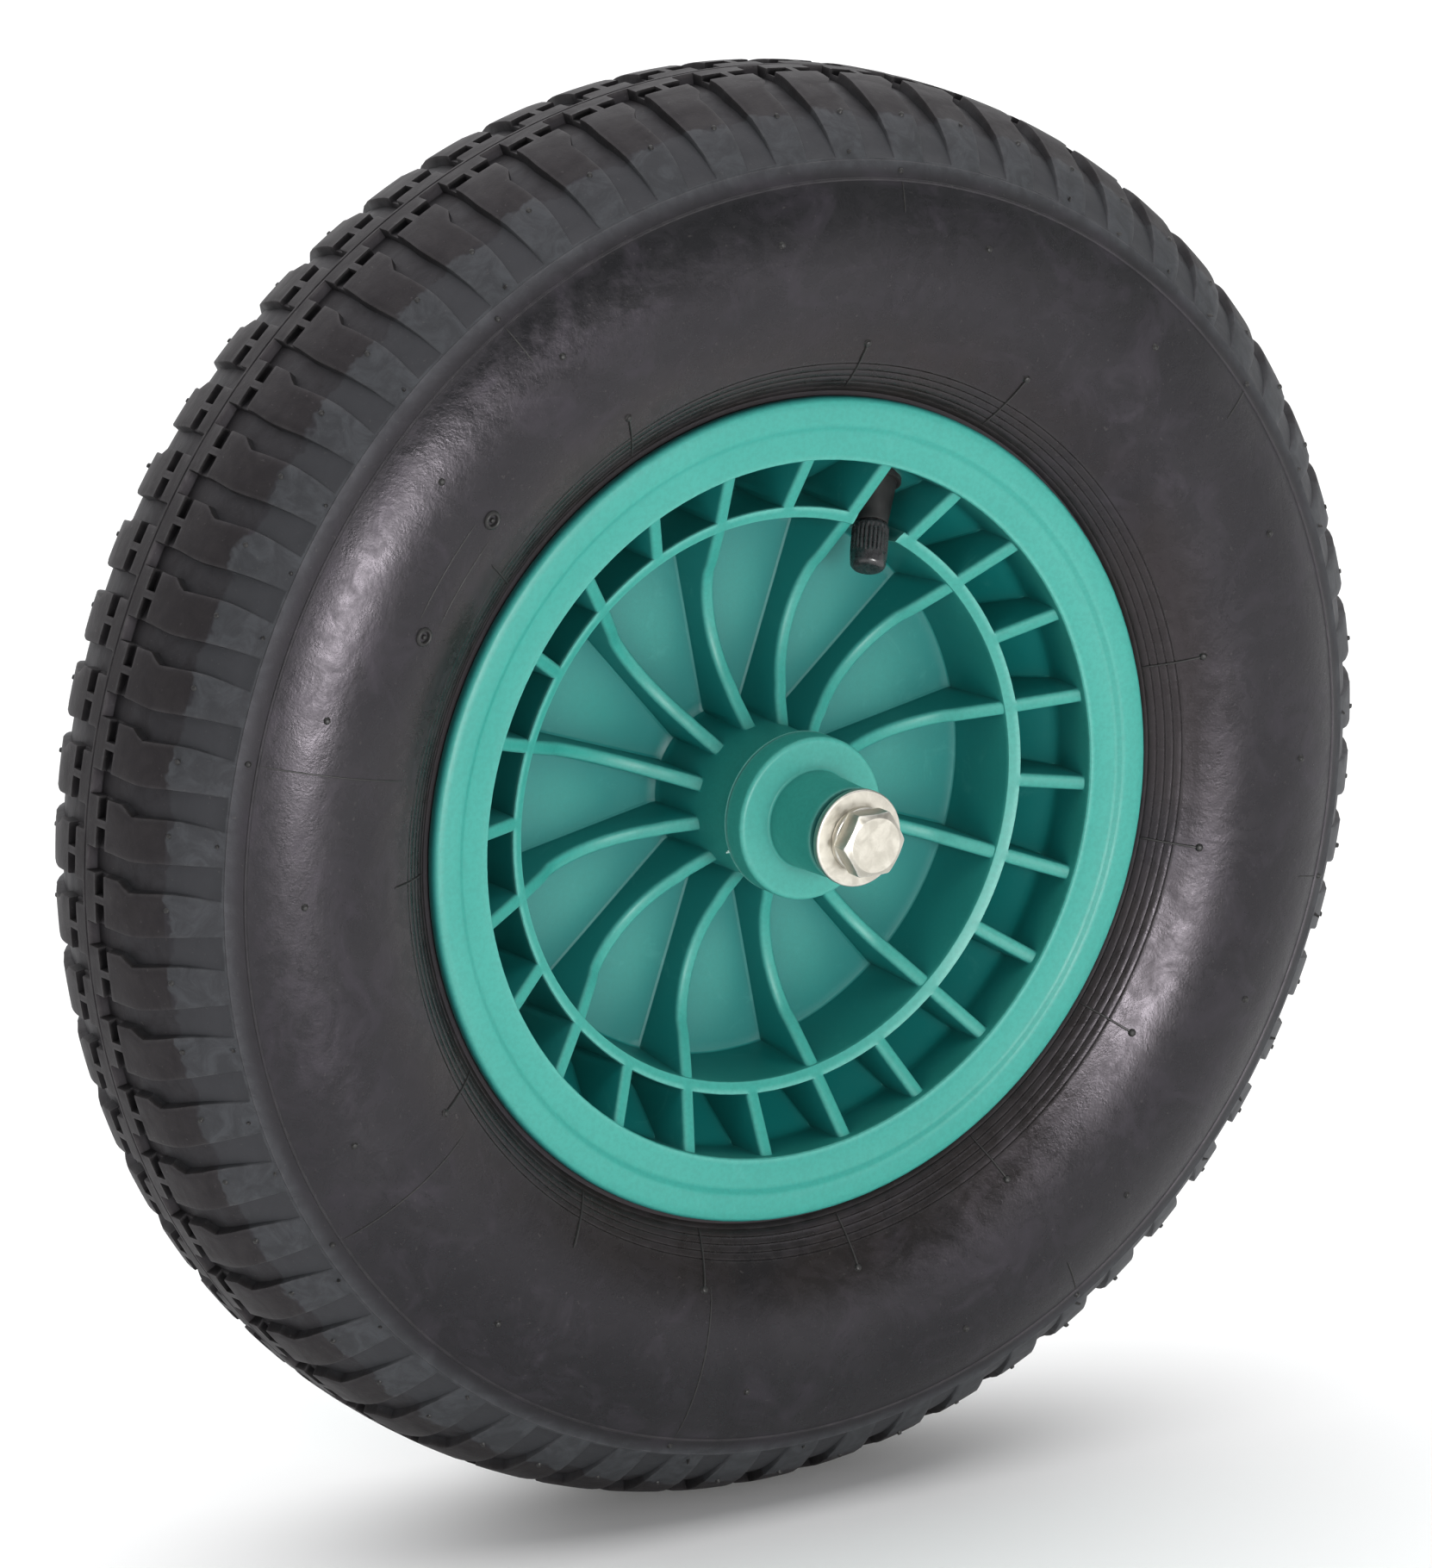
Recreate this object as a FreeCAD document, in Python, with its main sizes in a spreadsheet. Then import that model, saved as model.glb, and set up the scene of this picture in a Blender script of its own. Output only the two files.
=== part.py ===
import FreeCAD, Part
import math
import os
import Sketcher
from FreeCAD import Placement, Rotation, Vector

# A pneumatic wheelbarrow wheel, 4.00-8 size: a tube tyre on a one-piece ribbed plastic rim,
# two flanged plastic bushes that turn on a plain steel axle bar, and an M10 screw with a wide
# washer and a spring lock washer in each end of the bar.
#
# Frame: millimetres, +Z up, origin at the wheel's centre, the wheel spins about +Y.
# "near" is the side towards -Y, where the valve points; "far" is the side towards +Y.
# Angles round the wheel are counted from +X towards +Z.

DIMENSIONS = {
    # tyre
    "tyre_diameter": 400.0,
    "tyre_section_radius": 49.7,
    "cavity_centre_radius": 147.3,
    "cavity_radius": 44.5,
    "bead_bottom_radius": 101.9,
    "bead_outer_y": 35.3,
    "bead_inner_y": 26.0,
    "wire_ring_radius": 106.8,
    "wire_y": 30.7,
    "wire_radius": 2.35,
    "wire_clearance": 0.05,
    # inner tube
    "tube_clearance": 0.3,
    "tube_wall": 2.0,
    # rim
    "hub_bore_radius": 16.0,
    "hub_end_radius": 20.5,
    "hub_root_radius": 21.5,
    "hub_end_y": 38.0,
    "web_half": 1.5,
    "ring_inner_radius": 76.3,
    "ring_crest_inner_radius": 78.5,
    "ring_crest_inner_y": 24.9,
    "ring_outer_radius": 81.85,
    "ring_top_y": 26.3,
    "ring_outer_root_radius": 82.3,
    "cone_foot_radius": 85.7,
    "cone_top_y": 20.3,
    "well_bottom_radius": 89.6,
    "well_bottom_half": 2.0,
    "well_edge_y": 21.2,
    "rim_wall_root_radius": 97.4,
    "rim_wall_lip_radius": 96.8,
    "rim_wall_lip_y": 37.9,
    "seat_radius": 101.6,
    "flange_back_y": 35.6,
    "flange_radius": 114.35,
    "flange_front_y": 39.6,
    "flange_round": 2.0,
    "step_radius": 105.8,
    "step_height": 0.9,
    # ribs
    "spoke_count": 12,
    "rib_thickness": 4.0,
    "rib_phase": 11.0,
    "spoke_root_radius": 19.0,
    "spoke_tip_radius": 79.3,
    "spoke_root_crest_y": 23.6,
    "spoke_tip_crest_y": 25.0,
    "dip_start_radius": 30.8,
    "dip_start_y": 15.4,
    "dip_end_radius": 67.0,
    "dip_end_y": 16.8,
    "dip_round": 33.0,
    "outer_rib_root_radius": 80.0,
    "outer_rib_tip_radius": 99.0,
    "outer_rib_tip_crest_y": 36.6,
    # bushes
    "bush_bore_radius": 8.06,
    "bush_inner_y": 12.0,
    "bush_flange_radius": 22.6,
    "bush_face_y": 46.4,
    "bush_face_round": 1.2,
    "nose_root_radius": 13.5,
    "nose_end_radius": 12.9,
    "nose_end_y": 65.1,
    # axle bar, screws and washers
    "axle_radius": 8.0,
    "axle_end_y": 65.3,
    "tap_radius": 5.0,
    "tap_depth": 32.0,
    "fork_gap": 2.5,
    "washer_radius": 13.4,
    "washer_hole_radius": 5.25,
    "washer_thickness": 2.0,
    "lock_washer_radius": 8.9,
    "lock_washer_hole_radius": 5.15,
    "lock_washer_thickness": 2.0,
    "lock_washer_slot": 1.4,
    "screw_radius": 4.95,
    "screw_length": 30.0,
    "head_flats": 17.0,
    "head_height": 6.4,
    "head_chamfer_slope": 0.577,
    # valve: distances along its axis are counted from a point in the rim's well towards the cap
    "valve_angle": 63.5,
    "valve_tilt": 28.7,
    "valve_start_radius": 98.5,
    "valve_start_y": 10.4,
    "valve_hole_radius": 6.4,
    "valve_hole_start": -2.0,
    "valve_hole_end": 12.0,
    "ring_gap_half_angle": 5.5,
    "ring_gap_floor_y": 12.0,
    "base_radius": 7.0,
    "base_start": -9.0,
    "base_end": -2.4,
    "base_gap": 0.15,
    "tube_hole_radius": 3.0,
    "tube_hole_start": -12.0,
    "stem_root_radius": 6.2,
    "stem_collar_radius": 7.4,
    "stem_collar_start": 6.9,
    "stem_collar_end": 8.2,
    "stem_neck_radius": 4.6,
    "stem_end": 20.8,
    "insert_start": -6.5,
    "insert_radius": 2.7,
    "insert_thread_radius": 3.85,
    "insert_end": 32.2,
    "insert_bore_radius": 1.6,
    "core_seat": 18.5,
    "core_bore_radius": 2.3,
    "core_radius": 2.25,
    "core_neck_radius": 1.5,
    "core_start": 15.0,
    "core_shoulder": 20.6,
    "core_end": 31.5,
    "core_pin_bore_radius": 0.8,
    "core_spring_bore_radius": 1.5,
    "core_spring_floor": 25.0,
    "gasket_radius": 2.27,
    "pin_radius": 0.6,
    "pin_collar_radius": 1.35,
    "pin_collar_start": 30.5,
    "pin_collar_end": 31.2,
    "pin_end": 31.9,
    "pin_foot_start": 12.5,
    "pin_foot_end": 13.2,
    "pin_seal_radius": 1.45,
    "pin_seal_end": 14.9,
    "spring_radius": 1.1,
    "spring_wire_radius": 0.2,
    "spring_turns": 6,
    "cap_radius": 5.1,
    "cap_bore_radius": 3.95,
    "cap_start": 20.95,
    "cap_end": 34.4,
    "cap_bore_end": 32.9,
    "cap_round": 1.6,
    "cap_seal_radius": 3.7,
    "cap_seal_start": 32.25,
}

NEAR = -1
FAR = 1
SIDE_NAMES = {NEAR: "near", FAR: "far"}


class Size:
    """A length or number that carries the sheet expression it comes from."""

    def __init__(self, value, text):
        self.value = value
        self.text = text

    @staticmethod
    def of(other):
        if isinstance(other, Size):
            return other
        return Size(float(other), repr(other))

    def combine(self, other, value, sign):
        return Size(value, f"({self.text} {sign} {other.text})")

    def __add__(self, other):
        other = Size.of(other)
        return self.combine(other, self.value + other.value, "+")

    def __sub__(self, other):
        other = Size.of(other)
        return self.combine(other, self.value - other.value, "-")

    def __mul__(self, other):
        other = Size.of(other)
        return self.combine(other, self.value * other.value, "*")

    def __truediv__(self, other):
        other = Size.of(other)
        return self.combine(other, self.value / other.value, "/")

    __rmul__ = __mul__


class Sizes:
    """Gives each alias of the sheet as a Size, such as sizes.tyre_diameter."""

    def __getattr__(self, alias):
        return Size(float(DIMENSIONS[alias]), f"Dimensions.{alias}")


doc = FreeCAD.newDocument("WheelbarrowWheel")
sizes = Sizes()
nodes = []


def fill_sheet():
    sheet = doc.addObject("Spreadsheet::Sheet", "Dimensions")
    for row, (alias, value) in enumerate(DIMENSIONS.items(), start=1):
        sheet.set(f"A{row}", alias)
        sheet.set(f"B{row}", str(value))
        sheet.setAlias(f"B{row}", alias)
    doc.recompute()


def keep(feature, label):
    """Registers a finished sub-part under its node name."""
    feature.Label = label
    nodes.append(feature)
    return feature


def origin_part(body, role):
    return next(item for item in body.Origin.OriginFeatures if item.Role == role)


def new_body(name):
    return doc.addObject("PartDesign::Body", name)


def new_sketch(body, name, role="XY_Plane", turn=0.0):
    """A sketch on an origin plane, turned about that plane's own vertical axis."""
    sketch = body.newObject("Sketcher::SketchObject", name)
    sketch.AttachmentSupport = [(origin_part(body, role), "")]
    sketch.MapMode = "FlatFace"
    sketch.AttachmentOffset = Placement(Vector(), Rotation(Vector(0, 1, 0), turn))
    return sketch


def pin_point(sketch, geometry, position, point):
    """Holds one end of a curve at two sheet-driven distances from the sketch's origin."""
    for kind, size in zip(("DistanceX", "DistanceY"), point):
        index = sketch.addConstraint(Sketcher.Constraint(kind, -1, 1, geometry, position, size.value))
        sketch.setExpression(f"Constraints[{index}]", size.text)


def draw_profile(sketch, points, arcs=None):
    """Draws a closed outline through points. arcs gives, for a stretch that starts at a point's
    index, (centre, radius, direction), with direction 1 for anticlockwise and -1 for clockwise."""
    arcs = arcs or {}
    count = len(points)
    tails = []
    for index in range(count):
        start = points[index]
        end = points[(index + 1) % count]
        start_at = Vector(start[0].value, start[1].value, 0)
        end_at = Vector(end[0].value, end[1].value, 0)
        if index not in arcs:
            line = sketch.addGeometry(Part.LineSegment(start_at, end_at))
            tails.append((line, 1, 2))
            pin_point(sketch, line, 1, start)
            continue
        centre, radius, direction = arcs[index]
        centre_at = Vector(centre[0], centre[1], 0)
        first = math.atan2(start_at.y - centre_at.y, start_at.x - centre_at.x)
        last = math.atan2(end_at.y - centre_at.y, end_at.x - centre_at.x)
        if direction < 0:
            first, last = last, first
        if last < first:
            last += 2 * math.pi
        circle = Part.Circle(centre_at, Vector(0, 0, 1), radius.value)
        arc = sketch.addGeometry(Part.ArcOfCircle(circle, first, last))
        head, tail = (1, 2) if direction > 0 else (2, 1)
        tails.append((arc, head, tail))
        pin_point(sketch, arc, head, start)
        limit = sketch.addConstraint(Sketcher.Constraint("Radius", arc, radius.value))
        sketch.setExpression(f"Constraints[{limit}]", radius.text)
    for index in range(count):
        curve, _, tail = tails[index]
        following, head, _ = tails[(index + 1) % count]
        sketch.addConstraint(Sketcher.Constraint("Coincident", curve, tail, following, head))


def revolve(body, sketch, name, axis_role="Y_Axis"):
    feature = body.newObject("PartDesign::Revolution", name)
    feature.Profile = sketch
    feature.ReferenceAxis = (origin_part(body, axis_role), [""])
    feature.Angle = 360.0
    return feature


def groove(body, sketch, name):
    feature = body.newObject("PartDesign::Groove", name)
    feature.Profile = sketch
    feature.ReferenceAxis = (origin_part(body, "Y_Axis"), [""])
    feature.Angle = 360.0
    return feature


def circle_sketch(body, name, radial, axial, radius):
    sketch = new_sketch(body, name)
    centre = Vector(radial.value, axial.value, 0)
    circle = sketch.addGeometry(Part.Circle(centre, Vector(0, 0, 1), radius.value))
    pin_point(sketch, circle, 3, (radial, axial))
    limit = sketch.addConstraint(Sketcher.Constraint("Radius", circle, radius.value))
    sketch.setExpression(f"Constraints[{limit}]", radius.text)
    return sketch


def tyre_centre():
    return sizes.tyre_diameter / 2 - sizes.tyre_section_radius


def make_tyre():
    """A round section that narrows to two beads, open towards the rim."""
    body = new_body("TyreCover")
    outer_foot = tyre_centre().value - math.sqrt(
        DIMENSIONS["tyre_section_radius"] ** 2 - DIMENSIONS["bead_outer_y"] ** 2)
    inner_foot = DIMENSIONS["cavity_centre_radius"] - math.sqrt(
        DIMENSIONS["cavity_radius"] ** 2 - DIMENSIONS["bead_inner_y"] ** 2)
    outer_text = (f"({tyre_centre().text} - sqrt(Dimensions.tyre_section_radius ^ 2"
                  " - Dimensions.bead_outer_y ^ 2))")
    inner_text = ("(Dimensions.cavity_centre_radius - sqrt(Dimensions.cavity_radius ^ 2"
                  " - Dimensions.bead_inner_y ^ 2))")
    outer_foot = Size(outer_foot, outer_text)
    inner_foot = Size(inner_foot, inner_text)
    points = [
        (outer_foot, sizes.bead_outer_y * NEAR),
        (outer_foot, sizes.bead_outer_y * FAR),
        (sizes.bead_bottom_radius, sizes.bead_outer_y * FAR),
        (sizes.bead_bottom_radius, sizes.bead_inner_y * FAR),
        (inner_foot, sizes.bead_inner_y * FAR),
        (inner_foot, sizes.bead_inner_y * NEAR),
        (sizes.bead_bottom_radius, sizes.bead_inner_y * NEAR),
        (sizes.bead_bottom_radius, sizes.bead_outer_y * NEAR),
    ]
    arcs = {
        0: ((tyre_centre().value, 0.0), sizes.tyre_section_radius, 1),
        4: ((DIMENSIONS["cavity_centre_radius"], 0.0), sizes.cavity_radius, -1),
    }
    sketch = new_sketch(body, "TyreSection")
    draw_profile(sketch, points, arcs)
    revolve(body, sketch, "TyreRing")
    for side, name in SIDE_NAMES.items():
        channel = circle_sketch(body, f"WireChannel_{name}", sizes.wire_ring_radius,
                                sizes.wire_y * side, sizes.wire_radius + sizes.wire_clearance)
        groove(body, channel, f"WireGroove_{name}")
    keep(body, "tyre_cover")


def turn_onto_y(feature, y_size=None):
    """Lays a primitive whose own axis is Z along Y, with its start at a given height."""
    feature.Placement = Placement(Vector(), Rotation(Vector(1, 0, 0), -90))
    if y_size is not None:
        feature.setExpression("Placement.Base.y", y_size.text)


def make_bead_wires():
    for side, name in SIDE_NAMES.items():
        wire = doc.addObject("Part::Torus", f"BeadWire_{name}")
        wire.setExpression("Radius1", sizes.wire_ring_radius.text)
        wire.setExpression("Radius2", sizes.wire_radius.text)
        turn_onto_y(wire, sizes.wire_y * side)
        keep(wire, f"bead_wire_{name}")


def tube_torus(name, radius):
    torus = doc.addObject("Part::Torus", name)
    torus.setExpression("Radius1", sizes.cavity_centre_radius.text)
    torus.setExpression("Radius2", radius.text)
    turn_onto_y(torus)
    return torus


def cut_from(base, tool, name):
    cut = doc.addObject("Part::Cut", name)
    cut.Base = base
    cut.Tool = tool
    return cut


def make_inner_tube():
    """A hollow ring with one hole, where the valve lets air in."""
    outer = sizes.cavity_radius - sizes.tube_clearance
    wall = cut_from(tube_torus("TubeOutside", outer),
                    tube_torus("TubeInside", outer - sizes.tube_wall), "TubeWall")
    hole = doc.addObject("Part::Cylinder", "TubeHole")
    hole.setExpression("Radius", sizes.tube_hole_radius.text)
    hole.setExpression("Height", (sizes.base_end - sizes.tube_hole_start).text)
    start = Placement(Vector(0, 0, DIMENSIONS["tube_hole_start"]), Rotation())
    hole.Placement = valve_placement() * start
    keep(cut_from(wall, hole, "InnerTube"), "inner_tube")


def rim_side_outline(side):
    """The rim's section on one side, from the hub's bore out to the drop-centre well."""
    step_y = sizes.flange_front_y - sizes.step_height
    front_y = sizes.flange_front_y
    lip_radius = sizes.flange_radius - sizes.flange_round
    lip_y = front_y - sizes.flange_round
    return [
        (sizes.hub_bore_radius, sizes.hub_end_y * side),
        (sizes.hub_end_radius, sizes.hub_end_y * side),
        (sizes.hub_root_radius, sizes.web_half * side),
        (sizes.ring_inner_radius, sizes.web_half * side),
        (sizes.ring_crest_inner_radius, sizes.ring_crest_inner_y * side),
        (sizes.ring_outer_radius, sizes.ring_top_y * side),
        (sizes.ring_outer_root_radius, sizes.web_half * side),
        (sizes.cone_foot_radius, sizes.web_half * side),
        (sizes.rim_wall_root_radius, sizes.cone_top_y * side),
        (sizes.rim_wall_lip_radius, sizes.rim_wall_lip_y * side),
        (sizes.step_radius, step_y * side),
        (sizes.step_radius, front_y * side),
        (lip_radius, front_y * side),
        (sizes.flange_radius, lip_y * side),
        (sizes.flange_radius, sizes.flange_back_y * side),
        (sizes.seat_radius, sizes.flange_back_y * side),
        (sizes.seat_radius, sizes.well_edge_y * side),
        (sizes.well_bottom_radius, sizes.well_bottom_half * side),
    ]


def spoke_outline(side):
    """A spoke's side view: its free edge falls from the hub, rounds out and climbs to the ring."""
    root_y = sizes.web_half * (0.5 * side)
    points = [
        (sizes.spoke_root_radius, root_y),
        (sizes.spoke_tip_radius, root_y),
        (sizes.spoke_tip_radius, sizes.spoke_tip_crest_y * side),
        (sizes.dip_end_radius, sizes.dip_end_y * side),
        (sizes.dip_start_radius, sizes.dip_start_y * side),
        (sizes.spoke_root_radius, sizes.spoke_root_crest_y * side),
    ]
    middle_r = (DIMENSIONS["dip_start_radius"] + DIMENSIONS["dip_end_radius"]) / 2
    half_chord = (DIMENSIONS["dip_end_radius"] - DIMENSIONS["dip_start_radius"]) / 2
    middle_y = (DIMENSIONS["dip_start_y"] + DIMENSIONS["dip_end_y"]) / 2
    rise = math.sqrt(DIMENSIONS["dip_round"] ** 2 - half_chord ** 2)
    return points, {3: ((middle_r, side * (middle_y + rise)), sizes.dip_round, side * -1)}


def outer_rib_outline(side):
    """A short rib between the ring and the rim's wall, standing on the well's sloping side."""
    foot_y = sizes.web_half * (0.5 * side)
    return [
        (sizes.outer_rib_root_radius, foot_y),
        (sizes.cone_foot_radius + 1.0, foot_y),
        (sizes.outer_rib_tip_radius, sizes.cone_top_y * side + side * 0.3),
        (sizes.outer_rib_tip_radius, sizes.outer_rib_tip_crest_y * side),
        (sizes.outer_rib_root_radius, sizes.ring_top_y * side - side * 1.0),
    ]


def pattern_rib(body, name, points, arcs, count):
    sketch = new_sketch(body, f"{name}Sketch", turn=-DIMENSIONS["rib_phase"])
    draw_profile(sketch, points, arcs)
    rib = body.newObject("PartDesign::Pad", f"{name}Pad")
    rib.Profile = sketch
    rib.Midplane = True
    rib.setExpression("Length", sizes.rib_thickness.text)
    doc.recompute()
    pattern = body.newObject("PartDesign::PolarPattern", f"{name}Pattern")
    pattern.Originals = [rib]
    pattern.Axis = (origin_part(body, "Y_Axis"), [""])
    pattern.Angle = 360.0
    pattern.setExpression("Occurrences", count.text)
    body.Tip = pattern
    doc.recompute()


def valve_placement():
    """The valve's own frame: Z runs along the stem towards the cap, from a point in the well."""
    angle = math.radians(DIMENSIONS["valve_angle"])
    tilt = math.radians(DIMENSIONS["valve_tilt"])
    outward = Vector(math.cos(angle), 0, math.sin(angle))
    base = outward * DIMENSIONS["valve_start_radius"] + Vector(0, NEAR * DIMENSIONS["valve_start_y"], 0)
    along = outward * -math.cos(tilt) + Vector(0, NEAR * math.sin(tilt), 0)
    return Placement(base, Rotation(Vector(0, 0, 1), along))


def cut_valve_way(body):
    """Opens the ring between two ribs and drills the valve's slanted hole."""
    radial_start = sizes.ring_inner_radius - 1.5
    radial_end = sizes.ring_outer_root_radius + 0.02
    turn = -DIMENSIONS["valve_angle"]
    half_width = sizes.ring_outer_radius * math.tan(math.radians(DIMENSIONS["ring_gap_half_angle"]))
    sketch = new_sketch(body, "RingGapSketch", turn=turn)
    draw_profile(sketch, [
        (radial_start, (sizes.ring_top_y + 1.0) * NEAR),
        (radial_end, (sizes.ring_top_y + 1.0) * NEAR),
        (radial_end, sizes.ring_gap_floor_y * NEAR),
        (radial_start, sizes.ring_gap_floor_y * NEAR),
    ])
    gap = body.newObject("PartDesign::Pocket", "RingGap")
    gap.Profile = sketch
    gap.Midplane = True
    gap.setExpression("Length", (half_width * 2).text)
    doc.recompute()
    hole = body.newObject("PartDesign::SubtractiveCylinder", "ValveHole")
    start = Placement(Vector(0, 0, DIMENSIONS["valve_hole_start"]), Rotation())
    hole.Placement = valve_placement() * start
    hole.setExpression("Radius", sizes.valve_hole_radius.text)
    hole.setExpression("Height", (sizes.valve_hole_end - sizes.valve_hole_start).text)
    body.Tip = hole
    doc.recompute()


def make_rim():
    """One plastic moulding: hub, web, spokes, ring, drop-centre well and two tyre flanges."""
    body = new_body("RimMoulding")
    far_side = rim_side_outline(FAR)
    near_side = rim_side_outline(NEAR)
    points = near_side + far_side[::-1]
    near_lip = 12
    far_lip = len(points) - 1 - 13
    lip_radial = DIMENSIONS["flange_radius"] - DIMENSIONS["flange_round"]
    lip_axial = DIMENSIONS["flange_front_y"] - DIMENSIONS["flange_round"]
    arcs = {
        near_lip: ((lip_radial, NEAR * lip_axial), sizes.flange_round, 1),
        far_lip: ((lip_radial, FAR * lip_axial), sizes.flange_round, 1),
    }
    sketch = new_sketch(body, "RimSection")
    draw_profile(sketch, points, arcs)
    revolve(body, sketch, "RimRing")
    doc.recompute()
    for side, name in SIDE_NAMES.items():
        spoke_points, spoke_arcs = spoke_outline(side)
        pattern_rib(body, f"Spoke_{name}", spoke_points, spoke_arcs, sizes.spoke_count)
        pattern_rib(body, f"OuterRib_{name}", outer_rib_outline(side), None, sizes.spoke_count * 2)
    cut_valve_way(body)
    keep(body, "rim_moulding")


def make_bushes():
    """A flanged bush with a long nose, pressed into each end of the hub."""
    for side, name in SIDE_NAMES.items():
        body = new_body(f"HubBush_{name}")
        round_radius = sizes.bush_flange_radius - sizes.bush_face_round
        round_y = sizes.bush_face_y - sizes.bush_face_round
        points = [
            (sizes.bush_bore_radius, sizes.bush_inner_y * side),
            (sizes.hub_bore_radius, sizes.bush_inner_y * side),
            (sizes.hub_bore_radius, sizes.hub_end_y * side),
            (sizes.bush_flange_radius, sizes.hub_end_y * side),
            (sizes.bush_flange_radius, round_y * side),
            (round_radius, sizes.bush_face_y * side),
            (sizes.nose_root_radius, sizes.bush_face_y * side),
            (sizes.nose_end_radius, sizes.nose_end_y * side),
            (sizes.bush_bore_radius, sizes.nose_end_y * side),
        ]
        arcs = {4: ((round_radius.value, side * round_y.value), sizes.bush_face_round, side)}
        sketch = new_sketch(body, f"BushSection_{name}")
        draw_profile(sketch, points, arcs)
        revolve(body, sketch, f"BushTurned_{name}")
        keep(body, f"hub_bush_{name}")


def make_axle():
    """A plain steel bar with a tapped hole in each end."""
    body = new_body("AxleBar")
    sketch = new_sketch(body, "AxleSection")
    tap_bottom = sizes.axle_end_y - sizes.tap_depth
    centre_line = sizes.tap_radius * 0.0
    draw_profile(sketch, [
        (centre_line, tap_bottom * NEAR),
        (sizes.tap_radius, tap_bottom * NEAR),
        (sizes.tap_radius, sizes.axle_end_y * NEAR),
        (sizes.axle_radius, sizes.axle_end_y * NEAR),
        (sizes.axle_radius, sizes.axle_end_y * FAR),
        (sizes.tap_radius, sizes.axle_end_y * FAR),
        (sizes.tap_radius, tap_bottom * FAR),
        (centre_line, tap_bottom * FAR),
    ])
    revolve(body, sketch, "AxleTurned")
    keep(body, "axle_bar")


def make_washers():
    """A washer clear of each bar end by the thickness of a fork plate."""
    inner_face = sizes.axle_end_y + sizes.fork_gap
    for side, name in SIDE_NAMES.items():
        body = new_body(f"Washer_{name}")
        sketch = new_sketch(body, f"WasherSection_{name}")
        outer_face = inner_face + sizes.washer_thickness
        draw_profile(sketch, [
            (sizes.washer_hole_radius, inner_face * side),
            (sizes.washer_radius, inner_face * side),
            (sizes.washer_radius, outer_face * side),
            (sizes.washer_hole_radius, outer_face * side),
        ])
        revolve(body, sketch, f"WasherRing_{name}")
        keep(body, f"washer_{name}")


def make_lock_washers():
    """A split spring washer, pressed flat between each wide washer and its screw's head."""
    seat = sizes.axle_end_y + sizes.fork_gap + sizes.washer_thickness
    for side, name in SIDE_NAMES.items():
        start = seat * side if side == FAR else (seat + sizes.lock_washer_thickness) * side
        disc = doc.addObject("Part::Cylinder", f"LockWasherDisc_{name}")
        disc.setExpression("Radius", sizes.lock_washer_radius.text)
        disc.setExpression("Height", sizes.lock_washer_thickness.text)
        turn_onto_y(disc, start)
        hole = doc.addObject("Part::Cylinder", f"LockWasherHole_{name}")
        hole.setExpression("Radius", sizes.lock_washer_hole_radius.text)
        hole.setExpression("Height", sizes.lock_washer_thickness.text)
        turn_onto_y(hole, start)
        ring = doc.addObject("Part::Cut", f"LockWasherRing_{name}")
        ring.Base = disc
        ring.Tool = hole
        slot = doc.addObject("Part::Box", f"LockWasherSlot_{name}")
        slot.setExpression("Length", sizes.lock_washer_radius.text)
        slot.setExpression("Width", (sizes.lock_washer_thickness * 2).text)
        slot.setExpression("Height", sizes.lock_washer_slot.text)
        slot.setExpression("Placement.Base.x", (sizes.lock_washer_hole_radius / 2).text)
        slot.setExpression("Placement.Base.y", (start - sizes.lock_washer_thickness / 2).text)
        slot.setExpression("Placement.Base.z", (sizes.lock_washer_slot / -2).text)
        split_ring = doc.addObject("Part::Cut", f"LockWasher_{name}")
        split_ring.Base = ring
        split_ring.Tool = slot
        keep(split_ring, f"lock_washer_{name}")


def make_screws():
    """M10 hexagon screws; the head's corners are turned off by a cone."""
    seat = (sizes.axle_end_y + sizes.fork_gap + sizes.washer_thickness
            + sizes.lock_washer_thickness)
    corner = sizes.head_flats / math.sqrt(3.0)
    head_top = seat + sizes.head_height
    for side, name in SIDE_NAMES.items():
        head = doc.addObject("Part::Prism", f"ScrewHead_{name}")
        head.Polygon = 6
        head.setExpression("Circumradius", corner.text)
        head.setExpression("Height", sizes.head_height.text)
        start = seat if side == FAR else head_top
        turn_onto_y(head, start * side)
        dome = doc.addObject("Part::Cone", f"ScrewDome_{name}")
        crown = sizes.head_flats / 2 - 0.2
        skirt = crown + sizes.head_height / sizes.head_chamfer_slope
        dome.setExpression("Radius1", (skirt if side == FAR else crown).text)
        dome.setExpression("Radius2", (crown if side == FAR else skirt).text)
        dome.setExpression("Height", sizes.head_height.text)
        turn_onto_y(dome, start * side)
        turned_head = doc.addObject("Part::Common", f"ScrewTurnedHead_{name}")
        turned_head.Base = head
        turned_head.Tool = dome
        shank = doc.addObject("Part::Cylinder", f"ScrewShank_{name}")
        shank.setExpression("Radius", sizes.screw_radius.text)
        shank.setExpression("Height", sizes.screw_length.text)
        shank_start = (seat - sizes.screw_length) if side == FAR else seat
        turn_onto_y(shank, shank_start * side)
        screw = doc.addObject("Part::Fuse", f"AxleScrew_{name}")
        screw.Base = turned_head
        screw.Tool = shank
        keep(screw, f"axle_screw_{name}")


def turned_on_valve_axis(name, points, arcs=None):
    """A solid turned about the stem's axis and set in the valve's frame."""
    body = new_body(name)
    sketch = new_sketch(body, f"{name}Section", role="XZ_Plane")
    draw_profile(sketch, points, arcs)
    revolve(body, sketch, f"{name}Turned", axis_role="Z_Axis")
    body.Placement = valve_placement()
    return body


def turned_valve_part(name, label, points, arcs=None):
    keep(turned_on_valve_axis(name, points, arcs), label)


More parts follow.
